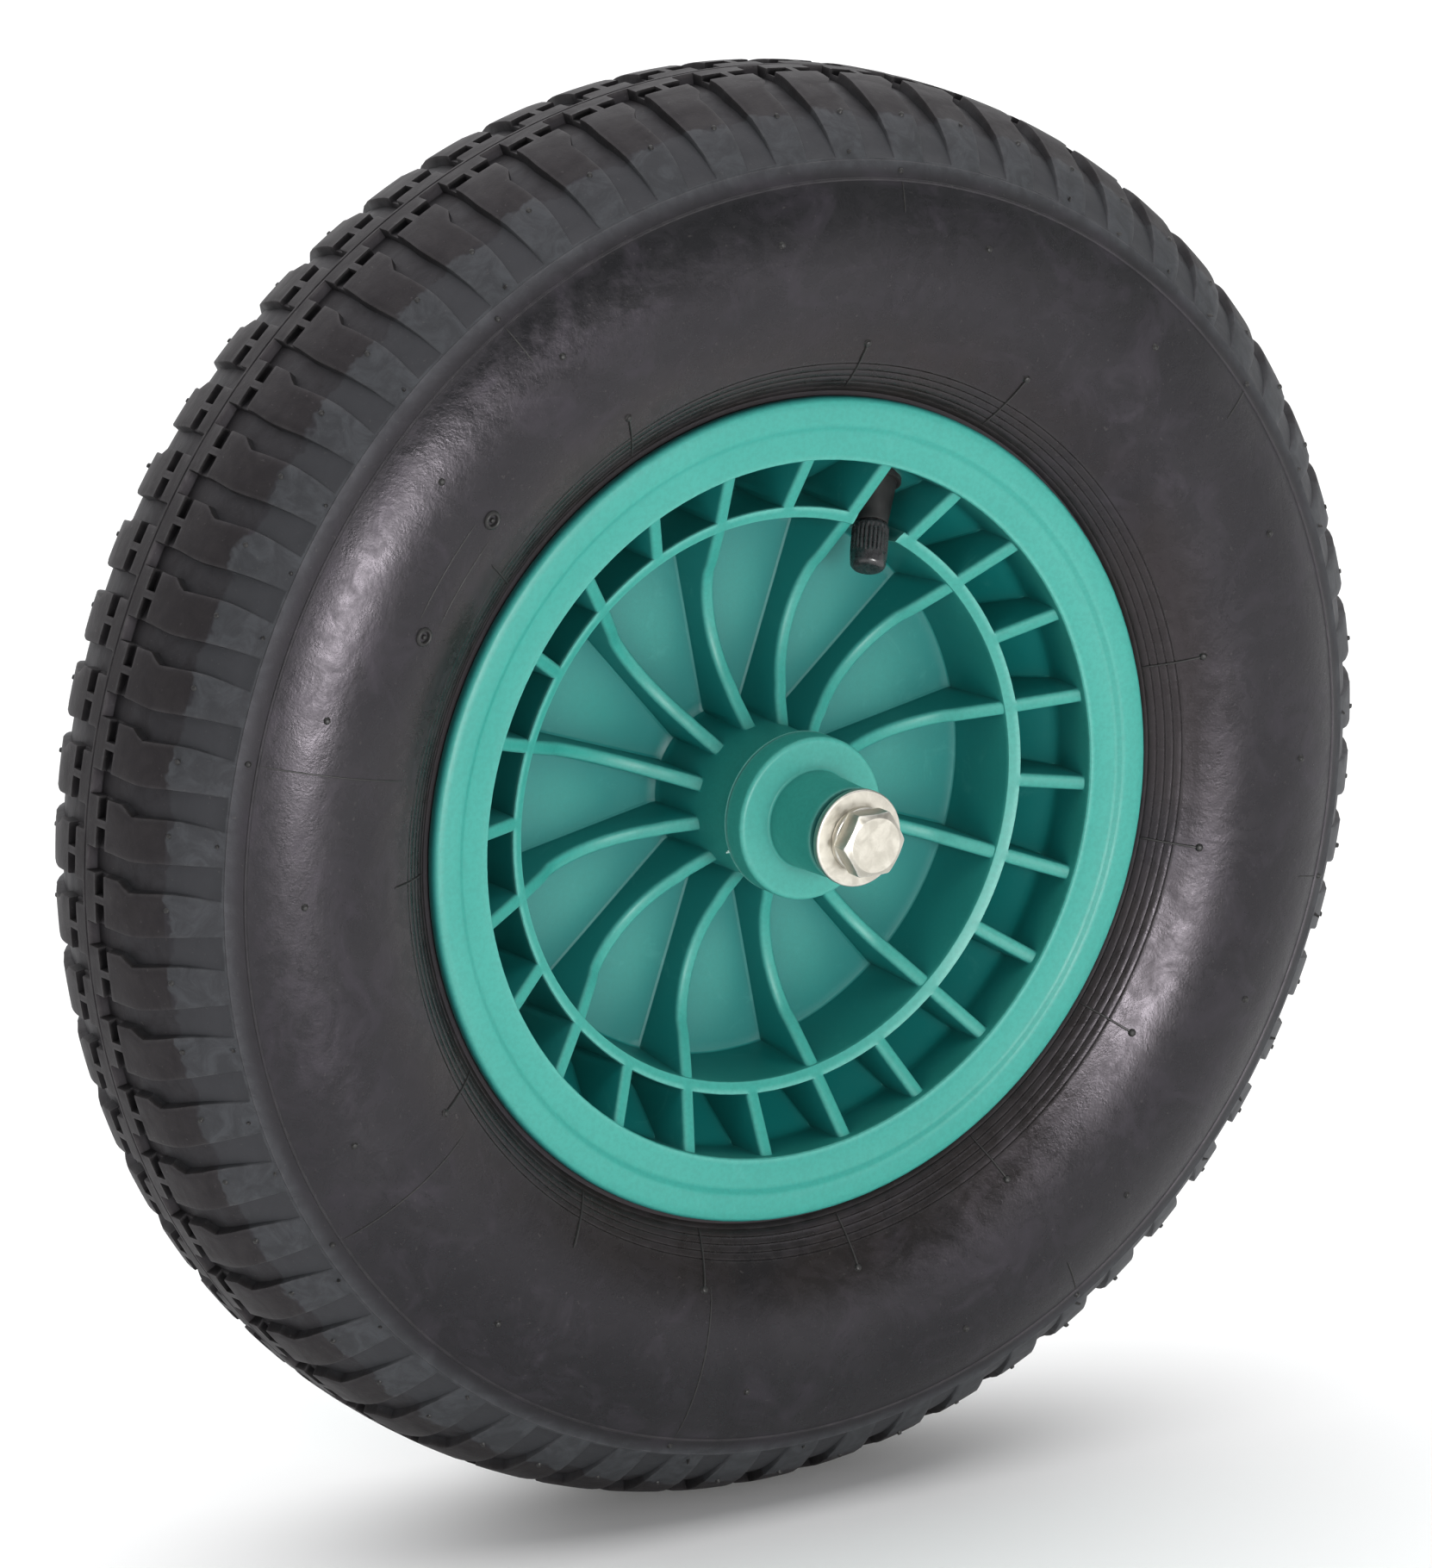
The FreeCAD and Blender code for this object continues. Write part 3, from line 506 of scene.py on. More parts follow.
# STATIONS are degrees round one pitch, and rows and slots are arc lengths from the centre line
STATIONS = (-2.7, -2.67, -2.08, -2.0, -1.9, -1.1, -1.0, -0.92, -0.33, -0.3,
            0.3, 0.33, 0.92, 1.0, 1.1, 1.9, 2.0, 2.08, 2.67, 2.7)
TREAD_ROWS = (0.4, 1.0, 1.7, 5.3, 5.45, 9.45, 9.6, 12.5, 15.5, 17.7, 19.5, 22.0, 25.5, 30.5, 31.1,
              34.5, 38.5, 42.5, 46.2, 46.7, 47.1, 47.35, 47.7, 51.9)
SLOT = (5.4, 9.5)
SLOT_DEPTH = 2.4
TREAD_DEPTH = 3.0
TREAD_END = 46.7
SLOT_FLANK = (0.31, 2.05)
LUG_FLANK = (1.95, 2.05)
SHOULDER_LINE = 31.1
EDGE_LINE = 47.35
COARSE_COLUMNS = 300
COARSE_START = LUG_PHASE[NEAR] - 2.85
COARSE_PITCH = 1.2
CAVITY_CENTRE, CAVITY_REACH = 147.3, 44.8


def section_point(s, lift=0.0):
    """(radius, |y|) on the tyre's outside at arc length s from the centre line."""
    s = np.asarray(s, float)
    turn = s / SECTION_RADIUS
    flatter = 1.8 * np.exp(-(s / 15.0) ** 2)
    reach = SECTION_RADIUS + lift
    return SECTION_CENTRE + reach * np.cos(turn) - flatter, reach * np.sin(turn)


def lug_edges(s):
    """Degrees from a lug's middle to its two flanks, which sweep round on the shoulder."""
    low = np.interp(s, (0, 15.5, 19.2, 24, 30, 36, 43, 47),
                    (-2, -2, -1.25, -1.4, -1.62, -1.7, -1.45, -1.3))
    high = np.interp(s, (0, 12, 20, 24, 30, 38, 47), (2, 2, 2.2, 2.15, 1.92, 1.75, 1.68))
    return low, high


def groove_depth(s):
    depths = (0, TREAD_DEPTH, TREAD_DEPTH, 0.35, 0)
    return float(np.interp(s, (1.0, 1.7, 20.0, 46.2, TREAD_END), depths))


def tread_ring(side, s):
    """Angles and heights of one ring of the tread on one side."""
    low, high = lug_edges(s)
    relaxed = np.clip((s - TREAD_END) / 4.0, 0.0, 1.0)
    marks = (-3.0, -2.08, -2.0, -1.9, 0.0, 1.9, 2.0, 2.08, 3.0)
    places = (-3.0, low - 0.08, low, low + 0.1, 0.0, high - 0.1, high, high + 0.08, 3.0)
    shift = 0.0 if side == NEAR else 3.0
    angles, lifts, tops = [], [], []
    for k in range(LUG_COUNT):
        for index, station in enumerate(STATIONS):
            own = (station - shift + 3.0) % LUG_PITCH - 3.0
            warped = float(np.interp(own, marks, places))
            even = -2.85 + 0.3 * index
            place = station + (warped - own) * (1 - relaxed)
            place = place * (1 - relaxed) + even * relaxed
            angles.append(LUG_PHASE[NEAR] + k * LUG_PITCH + place)
            flank = abs(own)
            lift, top = 0.0, 1.0
            if SLOT[0] < s < SLOT[1] and SLOT_FLANK[0] < flank < SLOT_FLANK[1]:
                lift = -1.5 if own > 1.8 else -SLOT_DEPTH
                top = 0.0
            elif flank > LUG_FLANK[1]:
                lift = -groove_depth(s)
                top = 0.0 if 1.2 < s < 46.5 else 1.0
            elif flank > LUG_FLANK[0] and 1.2 < s < TREAD_END:
                lift = -0.16
            if s == SHOULDER_LINE and top:
                lift += 0.14
            lifts.append(lift)
            tops.append(top)
    lifts = np.array(lifts)
    if s == EDGE_LINE:
        lifts = lifts + 0.22
    return np.array(angles), lifts, np.array(tops)


SIDEWALL_ROWS = (
    (52.3, 0.0), (52.6, 0.35), (53.0, 0.35), (53.3, 0.0), (55.5, 0), (59, 0), (63, 0), (67, 0),
    (71, 0), (75, 0), (79, 0), (83, 0), (87, 0), (91, 0), (94.5, 0), (98, 0), (101.5, 0),
    (104.3, 0.0),
)
BEAD_GROOVES = (105.5, 107.8, 110.1, 112.4, 114.7)
BEAD_END = 116.6


def sidewall_rows():
    """(arc length, lift) down the sidewall, with the fine grooves moulded round the bead."""
    rows = list(SIDEWALL_ROWS)
    for s in BEAD_GROOVES:
        rows += [(s - 0.55, 0.10), (s - 0.2, 0.05), (s - 0.1, -0.30), (s + 0.1, -0.30),
                 (s + 0.2, 0.05), (s + 0.55, 0.10), (s + 1.1, 0.12)]
    return rows + [(BEAD_END, 0.0)]


def tyre_cover():
    skin = Skin()
    halves = {}
    for side in (NEAR, FAR):
        rings = []
        for s in TREAD_ROWS:
            angles, lifts, tops = tread_ring(side, s)
            r, y = section_point(s, lifts)
            rings.append(skin.ring(on_circle(r, side * y, angles), top=tops, arc=s))
        coarse = COARSE_START + COARSE_PITCH * np.arange(COARSE_COLUMNS)
        for s, lift in sidewall_rows():
            r, y = section_point(s, lift)
            rings.append(skin.ring(on_circle(float(r), side * float(y), coarse), top=1.0, arc=s))
        for r, y in ((113.0, 35.5), (108.0, 35.3), (103.4, 35.3), (102.3, 34.9), (101.9, 33.8)):
            rings.append(skin.ring(on_circle(r, side * y, coarse), top=1.0, arc=125.0))
        hidden = coarse[::2]
        for r, y in ((101.9, 28.0), (102.3, 26.6), (103.4, 26.0), (107.0, 26.0)):
            rings.append(skin.ring(on_circle(r, side * y, hidden), top=1.0, arc=130.0))
        for turn in np.linspace(143.0, 8.0, 13):
            r = CAVITY_CENTRE + CAVITY_REACH * cos(radians(turn))
            y = CAVITY_REACH * sin(radians(turn))
            rings.append(skin.ring(on_circle(r, side * y, hidden), top=1.0, arc=130.0))
        halves[side] = rings
    angles, lifts, tops = tread_ring(NEAR, 0.0)
    r, _ = section_point(0.0, -0.5)
    middle = skin.ring(on_circle(float(r), 0.0, angles), top=0.0, arc=0.0)
    skin.join(halves[NEAR][::-1] + [middle] + halves[FAR] + [halves[NEAR][-1]])
    return skin.piece("tyre_cover.moulded")


def on_sidewall(degrees, s, side):
    """A point on the sidewall in mm, and the way out of it."""
    r, y = section_point(s)
    angle = radians(degrees)
    turn = s / SECTION_RADIUS
    x, z = cos(angle), sin(angle)
    out = Vector((cos(turn) * x, side * sin(turn), cos(turn) * z))
    return Vector((float(r) * x, side * float(y), float(r) * z)), out


def arc_at_radius(r):
    """Arc length on the sidewall where it is this far from the axle."""
    return SECTION_RADIUS * acos((r - SECTION_CENTRE) / SECTION_RADIUS)


def bead_line(skin, route, width, height, side):
    """A low moulded line along (degrees, s) points on the sidewall, thin at both ends."""
    section = ((-0.5, -0.3), (-0.5, 0.45), (-0.22, 1.0), (0.22, 1.0), (0.5, 0.45), (0.5, -0.3))
    rings = []
    last = len(route) - 1
    for i, (degrees, s) in enumerate(route):
        here, out = on_sidewall(degrees, s, side)
        before = route[max(i - 1, 0)]
        after = route[min(i + 1, last)]
        along = on_sidewall(*after, side)[0] - on_sidewall(*before, side)[0]
        across = along.cross(out).normalized()
        thin = 0.35 if i in (0, last) else 1.0
        rings.append(skin.ring([list(here + across * (a * width * thin) + out * (h * height * thin))
                                for a, h in section]))
    skin.solid(rings)


def sidewall_axes(degrees, s, side):
    here, out = on_sidewall(degrees, s, side)
    across = out.cross(Vector((0, 1, 0))).normalized()
    return here, out, across, out.cross(across)


NUB_PROFILE = ((-0.4, 1.35), (0.0, 1.25), (0.25, 1.0), (0.75, 0.9), (0.95, 0.65), (1.0, 0.25))


def nub(skin, degrees, s, radius, height, side, lean=0.0):
    """A vent nub: a small waisted stub with a rounded top."""
    here, out, across, other = sidewall_axes(degrees, s, side)
    rings = []
    for share, wide in NUB_PROFILE:
        ring = []
        for k in range(8):
            angle = k * pi / 4
            spread = across * cos(angle) + other * sin(angle)
            ring.append(list(here + out * (share * height) + spread * (radius * wide)
                             + across * (lean * max(share, 0) * height)))
        rings.append(skin.ring(ring))
    skin.solid(rings)


def dimple(skin, degrees, s, radius, side):
    """A round mark: a thick raised ring with a small dome in its middle."""
    here, out, across, other = sidewall_axes(degrees, s, side)
    profiles = (
        ((1.0, -0.3), (1.0, 0.1), (0.92, 0.55), (0.78, 0.75), (0.62, 0.6), (0.52, 0.1),
         (0.5, -0.3)),
        ((0.26, -0.3), (0.26, 0.3), (0.18, 0.6), (0.06, 0.7)),
    )
    for profile in profiles:
        rings = []
        for share, height in profile:
            ring = []
            for k in range(16):
                t = k * pi / 8
                spread = across * cos(t) + other * sin(t)
                ring.append(list(here + out * height + spread * (radius * share)))
            rings.append(skin.ring(ring))
        skin.solid(rings)


def plaque(skin, first, last, inner, outer, side):
    """A faint raised outline along the sidewall between two round marks."""
    low, high = arc_at_radius(outer), arc_at_radius(inner)
    middle = (low + high) / 2
    inset = 1.6
    for s in (low, high):
        bead_line(skin, [(first + inset + (last - first - 2 * inset) * k / 8, s) for k in range(9)],
                  0.35, 0.14, side)
    for degrees in (first, last):
        dimple(skin, degrees, middle, 2.7, side)


SHOULDER_HAIRLINES = ((35, 64), (80, 62), (122.7, 65), (167.2, 98), (213, 99), (256, 98),
                      (301, 66), (346, 62))
BEAD_HAIRLINES = (12, 58.6, 82, 209, 277, 300, 324, 348, 140, 116, 180, 235, 255)
BARE_HAIRLINES = (140, 180, 235)
WALL_NUBS = (94, 120, 137, 162, 180, 205, 231, 262, 288, 310, 333, 358, 22, 47, 70)


def tyre_marks(side):
    """Vent nubs, vent hairlines and the moulded plaque of one side of the tyre."""
    skin = Skin()
    mirror = 0.0 if side == NEAR else 9.0
    for k in range(LUG_COUNT):
        centre = LUG_PHASE[side] + LUG_PITCH * k
        nub(skin, centre - 0.4 + draw.uniform(-0.03, 0.03), 31.6, 0.72, draw.uniform(0.5, 1.0),
            side, draw.uniform(-0.4, 0.4))
        if draw.random() < 0.45:
            nub(skin, centre + draw.uniform(-0.3, 0.6), draw.uniform(44.0, 46.0), 0.42,
                draw.uniform(0.5, 1.4), side, draw.uniform(-0.8, 0.8))
    for angle, end in SHOULDER_HAIRLINES:
        angle += mirror
        bead_line(skin, [(angle, s) for s in np.linspace(53.0, end, 12)], 0.42, 0.24, side)
        nub(skin, angle, 50.2, 0.7, 0.7, side)
    for angle in BEAD_HAIRLINES:
        angle += mirror
        start = arc_at_radius(draw.uniform(129.5, 132.5))
        route = [(angle, s) for s in np.linspace(start, BEAD_GROOVES[-1], 14)]
        bead_line(skin, route, 0.62, 0.46, side)
        if angle - mirror not in BARE_HAIRLINES:
            nub(skin, angle, start, 0.95, 0.8, side)
    for angle in WALL_NUBS:
        angle += mirror
        nub(skin, angle, arc_at_radius(160.0 + draw.uniform(-0.6, 0.6)), 0.85, 0.75, side,
            draw.uniform(-0.3, 0.3))
    plaque(skin, 136.4 + mirror, 151.0 + mirror, 136.5, 144.0, side)
    return skin.piece(f"tyre_marks.{SIDE_NAMES[side]}")


# ---------- bushes, washers, screws and valve

WASHER_Y = (67.8, 69.8)
WASHER_RADIUS = 13.4
WASHER_HOLE = 5.25
LOCK_WASHER_RADIUS = 8.9
LOCK_WASHER_HOLE = 5.15
HEAD_SEAT = 71.8
HEAD_TOP = 78.2
HEAD_HALF_FLATS = 8.5
HEAD_CROWN = 7.7
CORNER_WEAR = 0.3
SHANK_RADIUS = 4.9
SHANK_END = HEAD_SEAT - 30.0
THREAD_PITCH = 1.5


def mirrored(outline, side):
    return [(r, side * y) for r, y in outline]


def hub_bush(side):
    """A flanged bush with a long, slightly tapered nose."""
    corners = [
        (8.06, 12.0, 0.3), (15.9, 12.0, 0.8), (16.0, 37.95, 0), (22.4, 37.95, 0), (22.6, 38.1, 0),
        (22.6, 38.35, 0), (21.8, 38.6, 0), (21.8, 38.95, 0), (22.6, 39.2, 0),
        (22.6, 46.4, 1.3), (13.55, 46.4, 0.7), (12.9, 65.1, 0.6), (8.06, 65.1, 0.4),
    ]
    return lathe(f"hub_bush.{SIDE_NAMES[side]}", mirrored(rounded(corners, 6), side), segments=144)


def moulding_flash():
    """A torn flake of flash left on the seam between the hub and the near bush."""
    skin = Skin()
    rings = []
    for share in np.linspace(0, 1, 7):
        angle = radians(201.0 + 3.4 * (share - 0.5))
        out = Vector((cos(angle), 0.0, sin(angle)))
        width = 0.12 + 0.55 * sin(pi * min(share * 1.15, 1.0))
        here = out * (22.5 + 0.5 * sin(5 * share)) + Vector((0.0, -38.2 + 0.5 * share, 0.0))
        ring = [here + out * (width * a) + Vector((0.0, width * b, 0.0))
                for a, b in ((-0.6, -0.5), (0.2, -0.8), (0.9, -0.1), (0.5, 0.6), (-0.3, 0.5))]
        rings.append(skin.ring([list(point) for point in ring]))
    skin.solid(rings)
    return skin.piece("moulding_flash")


def hub_washer(side):
    low, high = WASHER_Y
    corners = [(WASHER_HOLE, low, 0.25), (WASHER_HOLE, high, 0.4), (WASHER_RADIUS, high, 0.5),
               (WASHER_RADIUS, low, 0.3)]
    outline = mirrored(rounded(corners, 4), side)
    return lathe(f"hub_washer.{SIDE_NAMES[side]}", outline, segments=120)


def hex_reach(degrees):
    """Distance from a hexagon's middle to its edge, with the corners a little worn."""
    local = np.radians((degrees % 60.0) - 30.0)
    reach = HEAD_HALF_FLATS / np.cos(local)
    corner = HEAD_HALF_FLATS / cos(radians(30)) - CORNER_WEAR * 0.35
    off_corner = 30 - np.abs(np.degrees(local))
    return np.minimum(reach, corner - 0.25 * CORNER_WEAR * np.exp(-(off_corner / 1.5) ** 2))


def lock_washer(side):
    """A spring lock washer: a split ring whose two ends are drawn slightly apart."""
    skin = Skin()
    section = rounded([
        (LOCK_WASHER_HOLE, WASHER_Y[1], 0.2), (LOCK_WASHER_RADIUS, WASHER_Y[1], 0.35),
        (LOCK_WASHER_RADIUS, HEAD_SEAT, 0.35), (LOCK_WASHER_HOLE, HEAD_SEAT, 0.2),
    ], 3)
    rings = []
    for degrees in np.linspace(6.0, 354.0, 88):
        angle = radians(degrees)
        x, z = cos(angle), sin(angle)
        rings.append(skin.ring([[r * x, side * y, r * z] for r, y in section]))
    skin.solid(rings)
    return skin.piece(f"lock_washer.{SIDE_NAMES[side]}")


def axle_screw(side):
    """A hexagon-head screw: chamfered head and a cut thread on its shank."""
    skin = Skin()
    local = np.array((0, 0.8, 1.6, 3, 6, 12, 20, 30, 40, 48, 54, 57, 58.4, 59.2))
    degrees = np.concatenate([local + 60 * k for k in range(6)])
    edge = hex_reach(degrees)
    chamfer_top = HEAD_TOP - 0.08
    profile = [(r, HEAD_TOP) for r in (0.5, 2.5, 5.0, 6.9, HEAD_CROWN - 0.2)]
    profile.append((HEAD_CROWN, chamfer_top))
    for share in (0.08, 0.5, 0.92):
        r = HEAD_CROWN + (edge - HEAD_CROWN) * share
        profile.append((r, chamfer_top - 0.5 * (r - HEAD_CROWN)))
    drop = chamfer_top - 0.5 * (edge - HEAD_CROWN)
    profile.append((edge, drop - 0.12))
    profile += [(edge, drop + (HEAD_SEAT + 0.35 - drop) * share) for share in (0.12, 0.5, 0.9)]
    profile += [(edge - 0.1, HEAD_SEAT + 0.28), (8.3, HEAD_SEAT + 0.2), (8.25, HEAD_SEAT + 0.02),
                (SHANK_RADIUS, HEAD_SEAT + 0.02)]
    y = HEAD_SEAT - 0.3
    while y > SHANK_END + 1.0:
        phase = ((y / THREAD_PITCH * 360.0 - side * degrees) % 360.0) / 360.0
        groove = np.clip(2.6 * np.abs(phase - 0.5) - 0.3, 0.0, 1.0)
        fade = min(1.0, (HEAD_SEAT - 0.1 - y) / 1.5)
        profile.append((SHANK_RADIUS - 0.72 * groove * fade, y))
        y -= THREAD_PITCH / 8
    profile += [(4.1, SHANK_END + 0.2), (3.8, SHANK_END)]
    skin.solid([skin.ring(on_circle(r, side * y, degrees)) for r, y in profile])
    return skin.piece(f"axle_screw.{SIDE_NAMES[side]}")


def valve_cap():
    """A screw cap: rounded shoulder, fine grip ribs along its middle and a smooth domed end."""
    corners = [(3.95, 20.95, 0.15), (4.35, 20.95, 0.3), (5.1, 22.0, 0.6), (5.05, 31.0, 0),
               (4.7, 34.4, 1.7), (0.02, 34.4, 0), (0.02, 32.9, 0), (3.95, 32.9, 0.2)]
    outline = rounded(corners, 6)
    dense = []
    for (r0, z0), (r1, z1) in zip(outline, outline[1:] + outline[:1]):
        dense.append((r0, z0))
        if r0 > 4.9 and r1 > 4.6 and abs(z1 - z0) > 2.0:
            dense += [(r0 + (r1 - r0) * t, z0 + (z1 - z0) * t) for t in np.linspace(0.03, 0.97, 16)]

    def grip(r, z, degrees):
        if r < 4.5 or z < 22.3:
            return r
        strength = np.clip((z - 22.6) / 0.7, 0, 1) * np.clip((30.4 - z) / 0.5, 0, 1)
        ridge = np.abs(np.sin(np.radians(degrees * 12.0))) ** 0.7
        return r - 0.05 * strength - 0.42 * strength * (1 - ridge) + 0.1 * strength * ridge

    return stand_up(lathe("valve_cap.ribbed", dense, segments=240, wave=grip))


SPRING_SPAN = (25.22, 30.28)
SPRING_RADIUS = 1.1
SPRING_WIRE = 0.2
SPRING_TURNS = 6


def valve_core_spring():
    """The coil that holds the valve's pin shut."""
    skin = Skin()
    rings = []
    bottom, top = SPRING_SPAN
    for step in range(SPRING_TURNS * 20 + 1):
        share = step / (SPRING_TURNS * 20)
        turn = 2 * pi * SPRING_TURNS * share
        out = Vector((cos(turn), sin(turn), 0.0))
        here = out * SPRING_RADIUS + Vector((0.0, 0.0, bottom + (top - bottom) * share))
        ring = []
        for k in range(8):
            angle = k * pi / 4
            spread = out * cos(angle) + Vector((0, 0, 1)) * sin(angle)
            ring.append(list(here + spread * SPRING_WIRE))
        rings.append(skin.ring(ring))
    skin.solid(rings)
    piece = skin.piece("valve_core_spring.coil")
    piece.data.transform(valve_frame())
    return piece


def press_with_pin(spring):
    """Gives the spring a mesh of its own."""
    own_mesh(spring)


# ---------- finishes

def moulded_plastic(name, tint=1.0, bare=0.5, pocket_shade_strength=1.0):
    """Satin teal plastic: painted shade darkens it in the pockets and corners, paler and scuffed
    where it is rubbed.
    """
    f = Finish(name, IOR=1.5, Specular_IOR_Level=0.5)
    broad = f.noise(9.0, 3.0, 0.5)
    streaks = f.noise(30.0, 4.0, 0.6, stretch=(1.0, 0.35, 1.0), warp=0.6)
    fine = f.noise(2600.0, 2.0, 0.6)
    scuffs = f.noise(420.0, 5.0, 0.7, stretch=(1.0, 1.0, 0.2))
    smears = f.noise(75.0, 5.0, 0.7, warp=1.0)
    # painted shade: an occlusion mask lays a darker teal into the pockets
    painted_pocket_shade = (0.002 * tint, 0.140 * tint, 0.132 * tint)
    open_face = f.mix(f.span(broad, 0.35, 0.65), (0.022 * tint, 0.262 * tint, 0.218 * tint),
                      (0.032 * tint, 0.290 * tint, 0.242 * tint))
    base = f.mix(f.painted_shade_mask(60.0, 0.18, 0.18 + 0.34 / pocket_shade_strength), open_face, painted_pocket_shade)
    # painted shade: the colour darkens into inside corners and creases
    corner = f.painted_shade_mask(5.0, 0.25, 0.75)
    base = f.over(base, corner, 0.45, (0.003, 0.055, 0.052))
    base = f.over(base, f.span(streaks, 0.55, 0.8), 0.25 * bare, (0.060, 0.330, 0.285))
    base = f.over(base, f.span(smears, 0.58, 0.72), 0.30 * bare, (0.080, 0.340, 0.300))
    base = f.over(base, f.edge(1.6), 0.85 * bare, (0.150, 0.440, 0.385))
    mottle = f.noise(850.0, 3.0, 0.6)
    base = f.mix(f.span(mottle, 0.35, 0.68, 0.0, 0.22), base, (0.012, 0.150, 0.130))
    base = f.over(base, f.span(fine, 0.68, 0.76), 0.28, (0.080, 0.330, 0.290))
    rough = f.math("ADD", f.span(streaks, 0.3, 0.75, 0.43, 0.53),
                   f.span(scuffs, 0.6, 0.8, 0.0, 0.12))
    rough = f.math("ADD", rough, f.times(corner, 0.25))
    normal = f.bump(fine, 0.04, strength=0.45)
    normal = f.bump(scuffs, 0.03, normal, 0.4)
    normal = f.bump(f.noise(60.0, 2.0, 0.5), 0.25, normal, 0.5)
    return f.done(base, rough, normal)


def torn_plastic(name):
    """The pale, whitened teal of a torn edge."""
    f = Finish(name, IOR=1.49, Specular_IOR_Level=0.4)
    tear = f.noise(900.0, 4.0, 0.7)
    base = f.mix(f.span(tear, 0.35, 0.65), (0.20, 0.42, 0.37), (0.50, 0.66, 0.61))
    base = f.over(base, f.edge(0.4), 0.4, (0.70, 0.80, 0.77))
    return f.done(base, f.span(tear, 0.3, 0.7, 0.5, 0.7), f.bump(tear, 0.05, strength=0.6))


def tyre_rubber(name):
    """Charcoal rubber: brown bloom by the bead, blue-grey dust on the shoulders, polished wall."""
    f = Finish(name, IOR=1.5, Specular_IOR_Level=0.33, Specular_Tint=(0.98, 0.89, 1.0, 1.0))
    arc = f.attribute("arc")
    top = f.attribute("top")
    cloudy = f.noise(14.0, 5.0, 0.6, warp=0.8)
    streaks = f.noise(55.0, 4.0, 0.65, stretch=(1.0, 2.5, 1.0), warp=1.2)
    patches = f.noise(120.0, 5.0, 0.7, warp=1.4)
    grain = f.noise(1500.0, 3.0, 0.65)
    specks = f.noise(900.0, 2.0, 0.5)
    # the edge of the dust wanders across the lugs
    drift = f.math("ADD", arc, f.span(f.noise(95.0, 3.0, 0.6), 0.3, 0.7, -2.6, 2.6, smooth=False))
    black = f.mix(f.span(cloudy, 0.35, 0.7), (0.0070, 0.0075, 0.0080), (0.0120, 0.0125, 0.0130))
    wall = f.mix(f.span(streaks, 0.45, 0.75), black, (0.0175, 0.0160, 0.0195))
    crown = f.mix(f.span(patches, 0.35, 0.7), (0.0050, 0.0046, 0.0041), (0.0095, 0.0088, 0.0080))
    base = f.mix(f.span(arc, 31.5, 30.5), wall, crown)
    dusty = f.mix(f.span(patches, 0.35, 0.7), (0.023, 0.0260, 0.0275), (0.042, 0.0465, 0.050))
    on_shoulder = f.times(f.span(drift, 30.6, 31.8), f.span(arc, 52.0, 46.5))
    base = f.over(base, on_shoulder, 0.85, dusty)
    by_bead = f.times(f.span(arc, 84.0, 104.0), f.span(cloudy, 0.35, 0.6, 0.1, 0.7))
    base = f.mix(by_bead, base, (0.0125, 0.0098, 0.0078))
    dusty_floor = f.times(f.span(top, 0.9, 0.2), f.span(patches, 0.3, 0.65, 0.25, 0.75))
    base = f.mix(dusty_floor, base, (0.0165, 0.0180, 0.0195))
    # painted shade: the slots and grooves near the crown are darkened
    painted_slot_shade = f.times(f.span(top, 0.9, 0.2), f.span(arc, 12.0, 10.0))
    base = f.over(base, painted_slot_shade, 0.6, (0.0055, 0.0052, 0.0050))
    base = f.over(base, f.span(specks, 0.68, 0.76), 0.30, (0.070, 0.066, 0.062))
    worn = f.times(f.edge(1.3), f.span(patches, 0.3, 0.65, 0.10, 0.42))
    base = f.mix(worn, base, (0.060, 0.058, 0.058))
    on_wall = f.times(f.span(arc, 50.0, 56.0), f.span(arc, 118.0, 112.0))
    rough = f.span(streaks, 0.3, 0.75, 0.56, 0.68)
    polished = f.span(patches, 0.35, 0.68, 0.37, 0.25)
    rough = f.math("SUBTRACT", rough, f.times(on_wall, polished))
    normal = f.bump(grain, 0.09, strength=0.5)
    normal = f.bump(specks, 0.06, normal, 0.4)
    normal = f.bump(f.noise(110.0, 3.0, 0.5), 0.32, normal, 0.3)
    normal = f.bump(cloudy, 2.0, normal, 0.3)
    return f.done(base, rough, normal)


def plain_rubber(name, dark, light, rough_low=0.42, rough_high=0.6):
    """Black rubber with a soft bloom."""
    f = Finish(name, IOR=1.5, Specular_IOR_Level=0.45)
    bloom = f.noise(160.0, 4.0, 0.6)
    grain = f.noise(2200.0, 2.0, 0.6)
    base = f.mix(f.span(bloom, 0.35, 0.7), dark, light)
    base = f.over(base, f.edge(0.8), 0.3, tuple(3.0 * c for c in light))
    normal = f.bump(grain, 0.06, strength=0.5)
    rough = f.span(bloom, 0.3, 0.7, rough_low, rough_high)
    return f.done(base, rough, f.bump(bloom, 0.15, normal, 0.4))


def cap_plastic(name):
    """Hard black plastic, worn grey and shiny on its ribs."""
    f = Finish(name, IOR=1.5, Specular_IOR_Level=0.6)
    wear = f.noise(700.0, 4.0, 0.65)
    base = f.mix(f.span(wear, 0.4, 0.7), (0.014, 0.014, 0.0155), (0.028, 0.028, 0.030))
    base = f.over(base, f.edge(0.5), 0.5, (0.14, 0.135, 0.135))
    normal = f.bump(f.noise(3000.0, 2.0, 0.6), 0.03, strength=0.4)
    return f.done(base, f.span(wear, 0.3, 0.7, 0.22, 0.36), f.bump(wear, 0.05, normal, 0.35))


